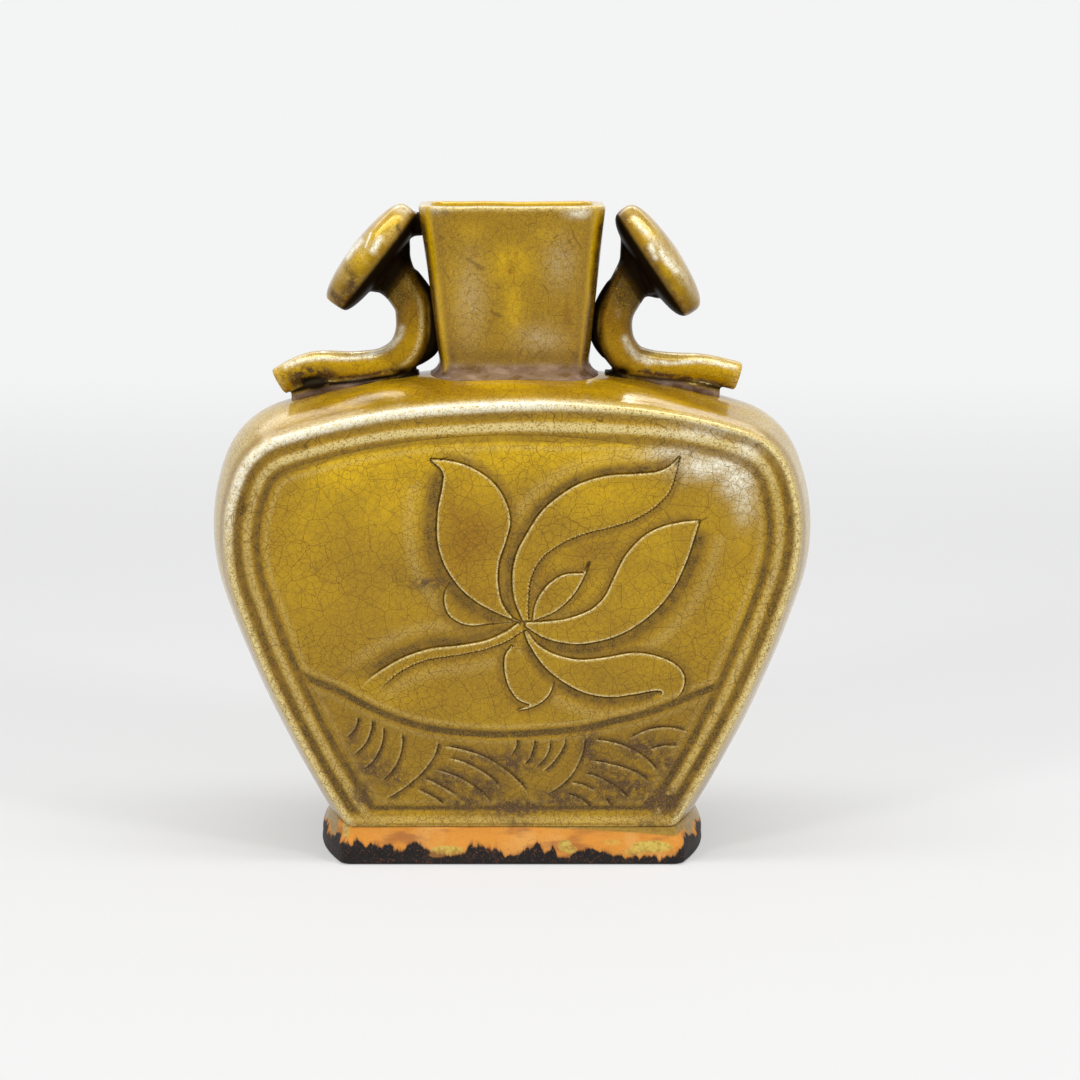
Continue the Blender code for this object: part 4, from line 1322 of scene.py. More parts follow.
@dataclass
class BodySkin:
    """The slab-built body as it shows: the band with its moulded ridges, and the carved faces."""

    crest_drop: float = 0.0075
    half_depth: float = 0.032
    panel_thickness: float = 0.0055
    band_wall: float = 0.005
    along_spacing: float = 0.0012
    face_spacing: float = 0.00045
    band_steps: int = 40
    cell: float = 0.0008
    close_reach: float = 0.0018
    closest_reach: float = 0.0006
    snap_reach: float = 0.00009
    border_gap: float = 0.00064
    border_spacing: float = 0.0006
    border_reach: float = 0.0034
    turned_edge: tuple[Spot, ...] = (
        (-0.032, -0.0012), (-0.03185, -0.0005), (-0.03145, 0.0002), (-0.0308, 0.0007), (-0.0299, 0.0011),
        (-0.0288, 0.00155),
    )
    band: Mesh = field(init=False)

    def bow(self, y: float) -> float:
        """How far the band stands out from the ridge line."""
        return self.crest_drop * (1 - (y / self.half_depth) ** 2)

    def section(self) -> list[tuple[float, float, float]]:
        """Section of the band with both frame mouldings.

        Returns:
            (y, offset from the crest, share of the face's carving) round the section.
        """
        inner = self.crest_drop - CARVING.inner_groove_inset
        edge = self.turned_edge[0][1]
        steps = round((edge - inner) / self.face_spacing)
        face = [(-self.half_depth, inner + (edge - inner) * i / steps, 1.0) for i in range(steps)]
        turn = curve_through(self.turned_edge, 2)
        face += [(y, n, float(np.clip(n / edge, 0, 1))) for y, n in turn]
        last = face[-1][0] + 0.0011
        ys = np.linspace(last, -last, self.band_steps)
        band = [(y, self.bow(y), 0.0) for y in ys]
        outer = face + band + [(-y, n, -share) for y, n, share in reversed(face)]
        back = self.panel_thickness - self.half_depth
        inside = [(-back, inner, 0.0)]
        for y in np.linspace(-back, back, 11):
            inside.append((y, self.bow(y) - self.band_wall, 0.0))
        inside.append((back, inner, 0.0))
        return [(y, n - self.crest_drop, share) for y, n, share in outer + inside]

    def build_band(self) -> None:
        """Spins the section about each arc of the outline, mirrors it and carves its faces."""
        bm = bmesh.new()
        share_layer = bm.verts.layers.float.new("face")
        arcs = OUTLINE.arcs()
        first = arcs[0]
        verts = []
        for y, offset, share in self.section():
            vert = bm.verts.new((first.centre_x, y, first.centre_z + first.radius + offset))
            vert[share_layer] = share
            verts.append(vert)
        edges = [bm.edges.new(pair) for pair in zip(verts, verts[1:] + verts[:1])]
        geometry = verts + edges
        for arc in arcs:
            spun = bmesh.ops.spin(
                bm,
                geom=geometry,
                cent=(arc.centre_x, 0, arc.centre_z),
                axis=(0, 1, 0),
                angle=arc.end - arc.start,
                steps=math.ceil(arc.radius * (arc.end - arc.start) / self.along_spacing),
            )
            geometry = only(spun["geom_last"], (BMVert, BMEdge))
        bmesh.ops.holes_fill(bm, edges=only(geometry, BMEdge), sides=0)
        everything = bm.verts[:] + bm.edges[:] + bm.faces[:]
        bmesh.ops.mirror(bm, geom=everything, axis="X", merge_dist=1e-6)
        self.band = mesh_of(bm, "body_band")
        places = vertex_places(self.band)
        shares = np.empty(len(places), np.float32)
        self.band.attributes["face"].data.foreach_get("value", shares)
        self.band.attributes.remove(self.band.attributes["face"])
        self.carve_band(places, shares)

    def carve_band(self, places: Array, shares: Array) -> None:
        """Lets the ridge wander, lays the mouldings into the faces and paints the glaze, with painted sheen
        on the side walls and a painted highlight along the ridge.

        Args:
            places: the spun band's vertices.
            shares: each one's share of the face's carving.
        """
        x, y, z = self.seated(places)
        out_x, out_z = OUTLINE.outwards(x, z)
        drawn_x = np.where(y > 0, -x, x)
        inset = OUTLINE.inset(x, z)
        crowding = ease(0.014, 0.03, np.abs(y)) * CARVING.crest(drawn_x, z)
        crowding = crowding * ease(CARVING.inner_groove_inset - 0.0003, 0.0115, inset)
        x, z = x - out_x * crowding, z - out_z * crowding
        drawn_x = np.where(y > 0, -x, x)
        face = CARVING.carve(drawn_x, z)
        weight = np.abs(shares)
        y = y - np.sign(y) * face.drop * weight
        ridge = OUTLINE.inset(x, z) - CARVING.ridge_inset - CARVING.crest(drawn_x, z)
        edge = swell(ridge, 0.0014) * ease(0.024, 0.028, np.abs(y))
        crease = swell(np.abs(y) - 0.0272, 0.0014) * ease(-0.0005, -0.0016, ridge)
        plain = (weight == 0) * ease(0.028, 0.022, np.abs(y))
        top = ease(0.13, 0.155, z) * ease(0.092, 0.05, np.abs(x))
        streak = ease(0.4, 0.62, HAND.waver(x * 0.9, y * 3.4, z * 2.6, 5.0))
        fine = ease(0.45, 0.6, HAND.waver(x * 0.5, y * 11, z * 7, 1.3))
        # Painted sheen: the side walls paler, standing in for their grazing reflection.
        walls = plain * ease(0.06, 0.088, np.abs(x)) * (1 - 0.15 * fine)
        worn = 0.3 * crease + 0.42 * plain * top * np.maximum(streak * 0.8, fine)
        # Painted highlight: a near-white line along the ridge from the left side over the top, where the
        # light falls on it.
        turn = np.degrees(np.arctan2(drawn_x, z - CARVING.turn_centre))
        lit = 0.03 + 0.87 * ease(30, 0, turn) * ease(-88, -62, turn)
        white = lit * ease(0.0034, 0.0012, ridge) * ease(-0.0016, -0.0003, ridge)
        white = white * ease(0.02, 0.026, np.abs(y))
        # Face blots on the band: brown glaze tone, and pale blots that paint sheen.
        cover = {
            tone: (weight > 0.5) * blotted(FACE_BLOTS, tone, drawn_x, z, CARVING.drawing_depth)
            for tone in ("brown", "pale")
        }
        # thin carries the painted sheen on the side walls; pale carries the painted highlight on the ridge
        # and the painted sheen blots.
        paint(
            self.band,
            thin=(weight > 0) * face.thin + 0.7 * edge + 0.5 * walls,
            pool=(weight > 0) * face.pool + worn,
            brown=cover["brown"],
            pale=np.maximum(cover["pale"], white),
            gold=0.4 * top * (1 - 0.6 * streak),
            amber=0.35 * top * streak * plain,
            calm=np.maximum(0.45 * (weight == 0), face.thin),
        )
        move_vertices(self.band, HAND.press(np.column_stack([x, y, z])))

    def seated(self, places: Array) -> tuple[Array, ...]:
        """Spreads the flanks' rings so that the last one lies level on the foot.

        Args:
            places: one (x, y, z) row for each vertex.

        Returns:
            Their x, y and z.
        """
        x, y, z = places.T
        flank = OUTLINE.arcs()[-1]
        across = np.abs(x) - flank.centre_x
        up = z - flank.centre_z
        radius, angle = np.hypot(across, up), np.arctan2(across, up)
        last = np.arccos(np.clip((OUTLINE.seat - flank.centre_z) / radius, -1, 1))
        share = (last - flank.start) / (flank.end - flank.start)
        moved = flank.start + (angle - flank.start) * share
        low = angle > flank.start
        x = np.where(low, np.sign(x) * (flank.centre_x + radius * np.sin(moved)), x)
        z = np.where(low, flank.centre_z + radius * np.cos(moved), z)
        return x, y, z

    def border(self) -> Array:
        """Closed line down the middle of the inner groove and along the foot.

        Returns:
            One (x, z) row for each point.
        """
        right = OUTLINE.half(CARVING.inner_groove_inset, self.border_spacing)
        left = [(-x, z) for x, z in reversed(right[1:])]
        foot_x = right[-1][0]
        steps = math.ceil(2 * foot_x / self.border_spacing)
        foot = [(foot_x - 2 * foot_x * i / steps, OUTLINE.seat) for i in range(1, steps)]
        return np.array(right + foot + left)

    def split_border(self) -> tuple[Array, Array]:
        """Splits the border along the bowl line into the flower's loop and the waves' loop.

        Returns:
            Both loops, one (x, z) row for each point.
        """
        line = CARVING.bowl_line()
        border = self.border()
        above = border[:, 1] > np.interp(border[:, 0], *line.T)
        falls = np.flatnonzero(above & ~np.roll(above, -1))[0]
        rises = np.flatnonzero(~above & np.roll(above, -1))[0]
        right, left = border[falls], border[rises + 1]
        steps = math.ceil((right[0] - left[0]) / self.border_spacing)
        xs = np.linspace(right[0], left[0], steps + 1)[1:-1]
        shared = np.column_stack([xs, np.interp(xs, *line.T)])
        upper = np.vstack([border[rises + 1 :], border[: falls + 1], shared])
        lower = np.vstack([border[falls : rises + 2], shared[::-1]])
        return upper, lower

    def face_plate(self, name: str, loop: Array) -> Mesh:
        """A carved plate: a grid that is finer along the cuts, filled out to the loop.

        Args:
            name: the piece's name.
            loop: closed border, one (x, z) row for each point.

        Returns:
            The carved and painted mesh of the front.
        """
        low, high = loop.min(0), loop.max(0)
        middle, size = (low + high) / 2, high - low
        across, up = (math.ceil(length / self.cell) for length in size)
        bm = bmesh.new()
        scale = Matrix.Diagonal((size[0] / 2, size[1] / 2, 1, 1))
        matrix = Matrix.Translation((*middle, 0)) @ scale
        bmesh.ops.create_grid(bm, x_segments=across, y_segments=up, size=1, matrix=matrix)
        centres = self.centres(bm)
        closed = np.vstack([loop, loop[:1]])
        keep = encloses(loop, centres) & (nearness(centres, closed).distance > self.border_gap)
        outside = [face for face, kept in zip(bm.faces, keep) if not kept]
        bmesh.ops.delete(bm, geom=outside, context="FACES")
        lines = [line for line in CARVING.lines() if encloses(loop, line[[len(line) // 2]])[0]]
        self.refine(bm, [closed], self.border_reach)
        for reach in (self.close_reach, self.closest_reach):
            self.refine(bm, lines, reach)
        self.snap(bm, lines)
        self.fill_to(bm, loop)
        return self.thicken(bm, name)

    def centres(self, bm: BMesh) -> Array:
        """The middle of each face in the drawing plane."""
        return np.array([face.calc_center_median()[:2] for face in bm.faces])

    def refine(self, bm: BMesh, lines: list[Array], reach: float) -> None:
        """Splits the faces that lie within reach of a line.

        Args:
            bm: the flat plate.
            lines: (x, z) rows for each line.
            reach: in metres.
        """
        centres = self.centres(bm)
        close = np.zeros(len(centres), bool)
        for line in lines:
            low, high = line.min(0) - reach, line.max(0) + reach
            near = np.flatnonzero(np.all((centres > low) & (centres < high), axis=1))
            if len(near):
                close[near[nearness(centres[near], line).distance < reach]] = True
        edges = {edge for face, chosen in zip(bm.faces, close) if chosen for edge in face.edges}
        bmesh.ops.subdivide_edges(bm, edges=list(edges), cuts=1, use_grid_fill=True)

    def snap(self, bm: BMesh, lines: list[Array]) -> None:
        """Moves vertices that nearly lie on a line on to it, so that the cut's edge is crisp.

        Args:
            bm: the flat plate.
            lines: (x, z) rows for each line.
        """
        verts = list(bm.verts)
        places = np.array([vert.co[:2] for vert in verts])
        for line in lines:
            low, high = line.min(0) - self.snap_reach, line.max(0) + self.snap_reach
            near = np.flatnonzero(np.all((places > low) & (places < high), axis=1))
            if not len(near):
                continue
            found = nearness(places[near], line)
            for index, gap, foot in zip(near, found.distance, found.foot):
                if gap < self.snap_reach:
                    verts[index].co.x, verts[index].co.y = foot

    def fill_to(self, bm: BMesh, loop: Array) -> None:
        """Fills the strip between the grid's ragged border and the loop."""
        ragged = [edge for edge in bm.edges if edge.is_boundary]
        verts = [bm.verts.new((x, z, 0)) for x, z in loop]
        rim = [bm.edges.new(pair) for pair in zip(verts, verts[1:] + verts[:1])]
        bmesh.ops.triangle_fill(bm, use_beauty=True, edges=ragged + rim, normal=(0, 0, 1))

    def thicken(self, bm: BMesh, name: str) -> Mesh:
        """Stands the flat net up, carves it, and closes its sides and back.

        Args:
            bm: the flat plate.
            name: the mesh's name.

        Returns:
            The carved and painted mesh.
        """
        x, z = np.array([vert.co[:2] for vert in bm.verts]).T
        face = CARVING.carve(x, z)
        pressed = HAND.press(np.column_stack([x, face.drop - self.half_depth, z]))
        # Face blots: glaze tones, and pale blots that paint sheen.
        tones = ("gold", "amber", "brown", "pale")
        layers = [bm.verts.layers.float.new(label) for label in ("thin", "pool", *tones)]
        covers = (blotted(FACE_BLOTS, tone, x, z, CARVING.drawing_depth) for tone in tones)
        shades = (face.thin, face.pool, *covers)
        for index, (vert, place) in enumerate(zip(bm.verts, pressed)):
            vert.co = place
            for layer, shade in zip(layers, shades):
                vert[layer] = shade[index]
        rim = [edge for edge in bm.edges if edge.is_boundary]
        walls = bmesh.ops.extrude_edge_only(bm, edges=rim)["geom"]
        for vert in only(walls, BMVert):
            vert.co.y = self.panel_thickness - self.half_depth
        bmesh.ops.holes_fill(bm, edges=[e for e in bm.edges if e.is_boundary], sides=0)
        mesh = mesh_of(bm, name)
        mesh.set_sharp_from_angle(angle=math.radians(70))
        return mesh

    def build(self, glaze: Material, face_glaze: Material, neck_hole: Mesh) -> None:
        """Makes the band, opens it for the neck, and lays both carved faces in front and behind.

        Args:
            glaze: finish of the band.
            face_glaze: finish of the carved faces.
            neck_hole: the cutter.
        """
        self.build_band()
        faces = {
            name: self.face_plate(f"{name}_front", loop)
            for name, loop in zip(("lotus_face", "wave_face"), self.split_border())
        }
        hole = put_in_scene("neck_hole", neck_hole)

        def cut(holder: Object) -> None:
            """Opens the crown for the neck."""
            boolean = holder.modifiers.new("hole", "BOOLEAN")
            boolean.operation = "DIFFERENCE"
            boolean.object = hole
            boolean.solver = "EXACT"

        band = evaluated_mesh(self.band, cut)
        bpy.data.objects.remove(hole, do_unlink=True)
        place_piece(band, glaze, ("shoulder", "side_wall_left", "side_wall_right"))
        for face in faces.values():
            place_piece(face, face_glaze, ("front_panel",))
        for name, face in faces.items():
            place_piece(turned_round(face, f"{name}_back"), face_glaze, ("back_panel",))


def shoulder_height(x: Array, y: Array) -> Array:
    """Height of the band's upper face near the crown."""
    crown = OUTLINE.arcs()[0]
    radius = crown.radius - BodySkin.crest_drop * (y / BodySkin.half_depth) ** 2
    return crown.centre_z + np.sqrt(radius**2 - x**2)


NECK_BLOTS = (
    *blots("gold", (512, 264, 24, 17, 0.9), (513, 305, 11, 26, 0.75), (470, 232, 12, 10, 0.35),
        (545, 235, 14, 12, 0.35), (580, 348, 8, 12, 0.5)),
    # The two tall amber strips at the neck's sides paint shade.
    *blots("amber", (511, 268, 7, 9, 0.6), (567, 318, 4, 15, 0.8), (579, 340, 8, 10, 0.6),
        (595, 260, 6, 50, 0.6), (433, 270, 6, 60, 0.6)),
    *blots("brown", (433, 212, 4, 3, 0.6), (445, 212, 3, 3, 0.5)),
    # Pale: painted highlights on the lip, and faint pale patches on the face.
    *blots("pale", (579, 212, 12, 5, 0.8), (430, 209, 12, 4, 0.6), (540, 340, 22, 14, 0.18),
        (470, 300, 14, 40, 0.15), (560, 262, 14, 24, 0.15)),
)


@dataclass
class Neck:
    """The tapering neck with its rounded lip, faired into the shoulder."""

    rim_height: float = 0.220
    base_height: float = 0.1649
    bottom: float = 0.1584
    rim_half_width: float = 0.0314
    rim_half_depth: float = 0.0165
    rim_corner: float = 0.0095
    base_half_width: float = 0.0249
    base_half_depth: float = 0.013
    base_corner: float = 0.0085
    lean: float = 0.0008
    wall: float = 0.0045
    bow: float = 0.0006
    fillet: float = 0.0034
    hole_start: float = 0.145
    hole_rise: float = 0.03
    front_depth: float = -0.0145
    segments: int = 168
    levels: int = 60

    def ring(self, height: float, grow: float) -> Array:
        """Level outline of the outer face, moved out by grow.

        Args:
            height: its height.
            grow: distance outwards.

        Returns:
            (x, y) rows round the ring.
        """
        share, half_width, half_depth = self.taper(height)
        half_width, half_depth = half_width + grow, half_depth + grow
        corner = self.base_corner + (self.rim_corner - self.base_corner) * share + grow
        flat_x, flat_y = half_width - self.bow - corner, half_depth - self.bow - corner
        x, y = rounded_plan(flat_x, flat_y, corner, self.segments)
        y = y + np.sign(y) * self.bow * (1 - (x / half_width) ** 2)
        x = x + np.sign(x) * self.bow * (1 - (y / half_depth) ** 2).clip(0)
        return np.column_stack([x + self.lean * (1 - share), y])

    def taper(self, height: float | Array) -> tuple[float | Array, ...]:
        """Share of the way up the neck at a height, with the half width and half depth there."""
        share = (height - self.base_height) / (self.rim_height - self.base_height)
        half_width = self.base_half_width + (self.rim_half_width - self.base_half_width) * share
        half_depth = self.base_half_depth + (self.rim_half_depth - self.base_half_depth) * share
        return share, half_width, half_depth

    def profile(self) -> list[tuple[float, float, float]]:
        """The neck's section from its foot in the shoulder, up, over the lip and down inside.

        Returns:
            (height, grow, share of the shoulder's curve) for each ring.
        """
        rows = [(self.bottom, 0.0, 0.0), (self.base_height - 0.0015, self.fillet, 1.0)]
        for step in range(9):
            angle = step / 8 * math.pi / 2
            out = self.fillet * (1 - math.sin(angle))
            up = 1.1 * self.fillet * (1 - math.cos(angle))
            rows.append((self.base_height + up - 0.00005, out, 1 - step / 8))
        first = rows[-1][0]
        lip = self.rim_height - 0.0017
        for step in range(1, self.levels):
            rows.append((first + (lip - first) * step / self.levels, 0.0, 0.0))
        for step in range(13):
            angle = step / 12 * math.pi
            across = (1 - math.cos(angle)) / 2
            rise = 0.0017 * min(1, math.sin(angle) * 1.6) ** 0.8
            rows.append((lip + rise, -self.wall * across, 0.0))
        for step in range(1, 30):
            rows.append((lip + (self.bottom - lip) * step / 29, -self.wall, 0.0))
        return rows

    def ring_verts(self, height: float, grow: float, follows: float) -> Array:
        """A ring's places, following the shoulder's curve by a share."""
        x, y = self.ring(height, grow).T
        dip = shoulder_height(x, y) - self.base_height
        return np.column_stack([x, y, height + dip * follows])

    def shape(self) -> Mesh:
        """Extrudes the first ring through every level and joins the last to the first."""
        bm = bmesh.new()
        skin_rings(bm, [self.ring_verts(*row) for row in self.profile()], capped=False)
        return mesh_of(bm, "neck_and_lip")

    def hole(self) -> Mesh:
        """Cutter that opens the shoulder inside the neck's wall.

        Returns:
            The cutter's mesh.
        """
        bm = bmesh.new()
        ring = self.ring(self.base_height, -0.6 * self.wall)
        verts = [bm.verts.new((x, y, self.hole_start)) for x, y in ring]
        base = bm.faces.new(verts)
        grown = bmesh.ops.extrude_face_region(bm, geom=[base])["geom"]
        bmesh.ops.translate(bm, vec=(0, 0, self.hole_rise), verts=only(grown, BMVert))
        return mesh_of(bm, "neck_hole")

    def build(self, glaze: Material, dull: Material) -> None:
        """Makes the neck and paints its glaze, with painted shade down its sides, painted highlights on its
        lip and dull slip in the corner at its foot.

        Args:
            glaze: the neck's finish.
            dull: finish of the slip.
        """
        mesh = self.shape()
        places = vertex_places(mesh)
        x, y, z = places.T
        out = self.outside(places)
        within = ease(-0.0012, -0.003, out)
        lip = swell(z - self.rim_height, 0.0010) * ease(-0.0042, -0.002, out)
        grow = ease(0, 0.003, self.base_height + 0.0042 - z) * (out > -0.003)
        share, half_width, _ = self.taper(z)
        edge = np.abs(x - self.lean * (1 - share)) - half_width
        # Painted shade: the neck darkens towards its left and right sides, which turn away from the light.
        sides = ease(-0.0075, -0.0005, edge) * (1 - within) * ease(0.219, 0.212, z)
        side_corner_shade = ease(-0.0045, -0.0012, edge) * (1 - within) * ease(0.219, 0.212, z)
        base = swell(z - self.base_height - 0.005, 0.0026) * (1 - within)
        front = (y < 0) * (1 - within)
        # The amber floor on the sides is painted shade.
        least = {"gold": 0.75 * within, "amber": 0.75 * sides, "brown": 0, "pale": 0}
        cover = {
            tone: np.maximum(blotted(NECK_BLOTS, tone, x, z, self.front_depth) * front, floor)
            for tone, floor in least.items()
        }
        # Pool: glaze pooled above the foot, and painted shade down the sides.
        pool = 0.6 * base + 0.8 * sides + 0.35 * side_corner_shade
        paint(mesh, thin=0.85 * lip, pool=pool, slip=0.8 * grow * (1 - within), calm=within, **cover)
        move_vertices(mesh, self.uneven(places))
        place_piece(mesh, glaze, ("neck", "neck_luting_coil"))
        share_faces(mesh, dull, grow * (1 - within) > 0.75)

    def outside(self, places: Array) -> Array:
        """Rough distance of places outside the neck's outer face."""
        _, half_width, half_depth = self.taper(places[:, 2])
        return np.maximum(np.abs(places[:, 1]) - half_depth, np.abs(places[:, 0]) - half_width)

    def uneven(self, places: Array) -> Array:
        """Slight waves in the wall and in the lip's line, inwards and downwards.

        Args:
            places: one (x, y, z) row for each vertex.

        Returns:
            The moved places.
        """
        x, y, z = places.T
        share = ease(0.172, 0.19, z)
        moved = places.copy()
        moved[:, 0] -= np.sign(x) * 0.0003 * share * HAND.waver(x, y, z, 1.1)
        moved[:, 1] -= np.sign(y) * 0.00035 * share * HAND.waver(x, y, z, 0.2)
        moved[:, 2] -= ease(0.2, 0.219, z) * 0.0005 * HAND.waver(x * 1.6, y, z, 4.0)
        return moved


@dataclass(frozen=True)
class HandleSide:
    """What one hand-set handle has of its own; lengths are as on the solids."""

    hand: str
    side: int
    route_shares: tuple[tuple[float, float, float], ...]
    cap_out: float
    cap_up: float
    cap_tilt: float
    luting_out: float
    webs: tuple[tuple[tuple[Spot, float, float], ...], ...] = ()
    cut_edge: tuple[Spot, ...] = ()
    ridge: float = 0.0
    # dulled: marks of painted shade, laid near black with the dull glaze.
    dulled: tuple[Blot | Stroke, ...] = ()
    # tones: glaze tones, with pale strokes that paint highlights.
    tones: tuple[Blot | Stroke, ...] = ()


LEFT_SIDE = HandleSide(
    "left",
    -1,
    route_shares=((0.985, 0.24, 0.76), (0.93, 0.265, 0.77), (0.86, 0.295, 0.78), (0.77, 0.305, 0.79),
        (0.69, 0.28, 0.8), (0.6, 0.23, 0.82), (0.52, 0.19, 0.84), (0.39, 0.155, 0.89), (0.315, 0.155, 0.94),
        (0.237, 0.2, 0.98), (0.172, 0.29, 1.0), (0.124, 0.46, 1.0), (0.108, 0.65, 1.0),
        (0.112, 0.83, 1.04)),
    cap_out=0.0175,
    cap_up=0.0414,
    cap_tilt=math.radians(51.5),
    luting_out=0.0488,
    webs=(
        (((414, 272), 0.0014, 0.0026), ((424, 287), 0.0018, 0.0034), ((429, 300), 0.0027, 0.0042),
            ((431.5, 315), 0.003, 0.0046), ((434, 330), 0.003, 0.0046), ((434, 340), 0.0028, 0.0042),
            ((430, 349), 0.0027, 0.0038), ((423, 357), 0.002, 0.0034), ((416, 363), 0.0012, 0.003)),
        (((399, 231), 0.0038, 0.0044), ((406, 227), 0.0041, 0.0044), ((412, 224), 0.0041, 0.0042),
            ((419, 224), 0.004, 0.004), ((426, 224), 0.0038, 0.0036)),
        (((400, 236), 0.0032, 0.004), ((401.5, 247), 0.003, 0.0038), ((402, 257), 0.0029, 0.0036),
            ((408, 270), 0.0022, 0.0034), ((415, 281), 0.0018, 0.0032)),
        (((375, 285), 0.002, 0.0034), ((384, 286), 0.0028, 0.0036), ((391, 292), 0.0025, 0.0034)),
    ),
    cut_edge=((326.3, 296.8), (343, 308.2)),
    ridge=1.0,
    # Painted shade: the hole and the dark gap under the tail.
    dulled=(
        *blots("soot", (314, 383, 15, 7, 1.7), (402, 372, 12, 6, 1.0)),
        *strokes("soot", (((330, 384), (360, 381), (392, 376), (412, 372)), 2.2, 1.2)),
    ),
    # Pale strokes paint highlights on the cap, stem and tail; the brown stroke along the tail's underside and
    # the brown blots under its end paint shade.
    tones=(
        *blots("gold", (390, 222, 12, 10, 0.75), (377, 234, 10, 8, 0.7), (361, 257, 8, 10, 0.7),
            (345, 372, 60, 8, 0.8), (410, 330, 10, 26, 0.6)),
        *blots("amber", (389, 220, 6, 5, 0.5)),
        *strokes("pale", (((347, 257), (352, 250), (361, 241)), 2.6, 1.1), (((374, 249), (380, 238)), 3.0,
            1.1), (((366, 246), (371, 233)), 0.9, 1.1), (((396, 209), (406, 212)), 3.5, 0.4), (((401, 329),
            (399, 338), (391, 347), (381, 353), (369, 358)), 2.8, 1.1), (((369, 358), (346, 361),
            (322, 360), (303, 362), (284, 369)), 2.0, 0.9), (((303, 361), (284, 368)), 3.2, 0.7)),
        *strokes("brown", (((330, 292), (337, 299)), 3.5, 0.8), (((341, 303), (350, 294), (366, 284)), 6.0,
            1.4), (((353, 281), (349, 291), (347, 302)), 6.0, 0.8), (((348, 268), (356, 276)), 3.0, 0.5),
            (((398, 226), (402, 238)), 2.4, 0.6), (((366, 282), (384, 266), (396, 244)), 2.4, 0.7),
            (((338, 380), (362, 378), (392, 372)), 2.4, 0.7)),
        *blots("brown", (311, 378, 21, 8, 1.5), (294, 382, 6, 7, 0.9)),
    ),
)
RIGHT_SIDE = HandleSide(
    "right",
    1,
    route_shares=((0.94, 0.275, 0.77), (0.9, 0.275, 0.78), (0.83, 0.27, 0.78), (0.75, 0.26, 0.79),
        (0.67, 0.24, 0.8), (0.575, 0.2, 0.82), (0.47, 0.165, 0.86), (0.372, 0.15, 0.91),
        (0.276, 0.173, 0.95), (0.207, 0.267, 0.98), (0.163, 0.383, 1.0), (0.14, 0.537, 1.0),
        (0.139, 0.703, 1.0), (0.167, 0.873, 1.04)),
    cap_out=0.0194,
    cap_up=0.0407,
    cap_tilt=math.radians(55.5),
    luting_out=0.0445,
    webs=(
        (((611, 282), 0.0012, 0.0024), ((603, 296), 0.0015, 0.0032), ((598.5, 312), 0.0023, 0.0042),
            ((597, 325), 0.0025, 0.0044), ((596, 335), 0.0022, 0.004), ((599, 346), 0.0016, 0.0034),
            ((605, 356), 0.001, 0.003)),
        (((627, 238), 0.0022, 0.0036), ((629, 250), 0.003, 0.0038), ((628, 262), 0.003, 0.0036),
            ((622, 274), 0.0028, 0.0034), ((614, 287), 0.0024, 0.0032)),
        (((660, 294), 0.0018, 0.0034), ((650, 289), 0.0026, 0.0036), ((641, 290), 0.0024, 0.0034)),
    ),
    # Painted shade: the dark gap under the tail.
    dulled=(
        *strokes("soot", (((628, 375), (652, 378), (700, 383), (728, 390)), 2.0, 0.85)),
        *blots("soot", (622, 372, 9, 6, 1.2)),
    ),
    # Pale strokes paint highlights on the cap, stem and tail; the brown stroke along the tail's underside
    # paints shade.
    tones=(
        *blots("gold", (649, 235, 7, 6, 0.8), (667, 268, 9, 8, 0.7), (677, 290, 9, 7, 0.6),
            (700, 375, 34, 8, 0.6)),
        *strokes("pale", (((634, 218), (641, 227), (647, 233)), 2.4, 0.9), (((650, 245), (654, 256)), 3.2,
            1.1), (((660, 251), (668, 262), (676, 270)), 3.0, 1.1), (((640, 226), (664, 250), (684, 276),
            (696, 298)), 3.6, 0.45), (((626, 340), (630, 350), (638, 358), (650, 363)), 3.4, 1.1),
            (((650, 363), (672, 365), (700, 363), (718, 365), (736, 370)), 2.1, 1.05), (((619, 302),
            (619, 316)), 3.0, 0.25)),
        *strokes("brown", (((620, 214), (628, 222)), 3.0, 0.5), (((678, 312), (694, 311)), 3.4, 0.7),
            (((604, 296), (625, 276)), 6.0, 0.5), (((640, 372), (664, 377), (696, 382), (730, 389)), 2.6,
            0.9), (((644, 248), (664, 278), (682, 306)), 2.2, 0.5), (((633, 292), (631, 322), (634, 338)),
            3.0, 0.6)),
    ),
)


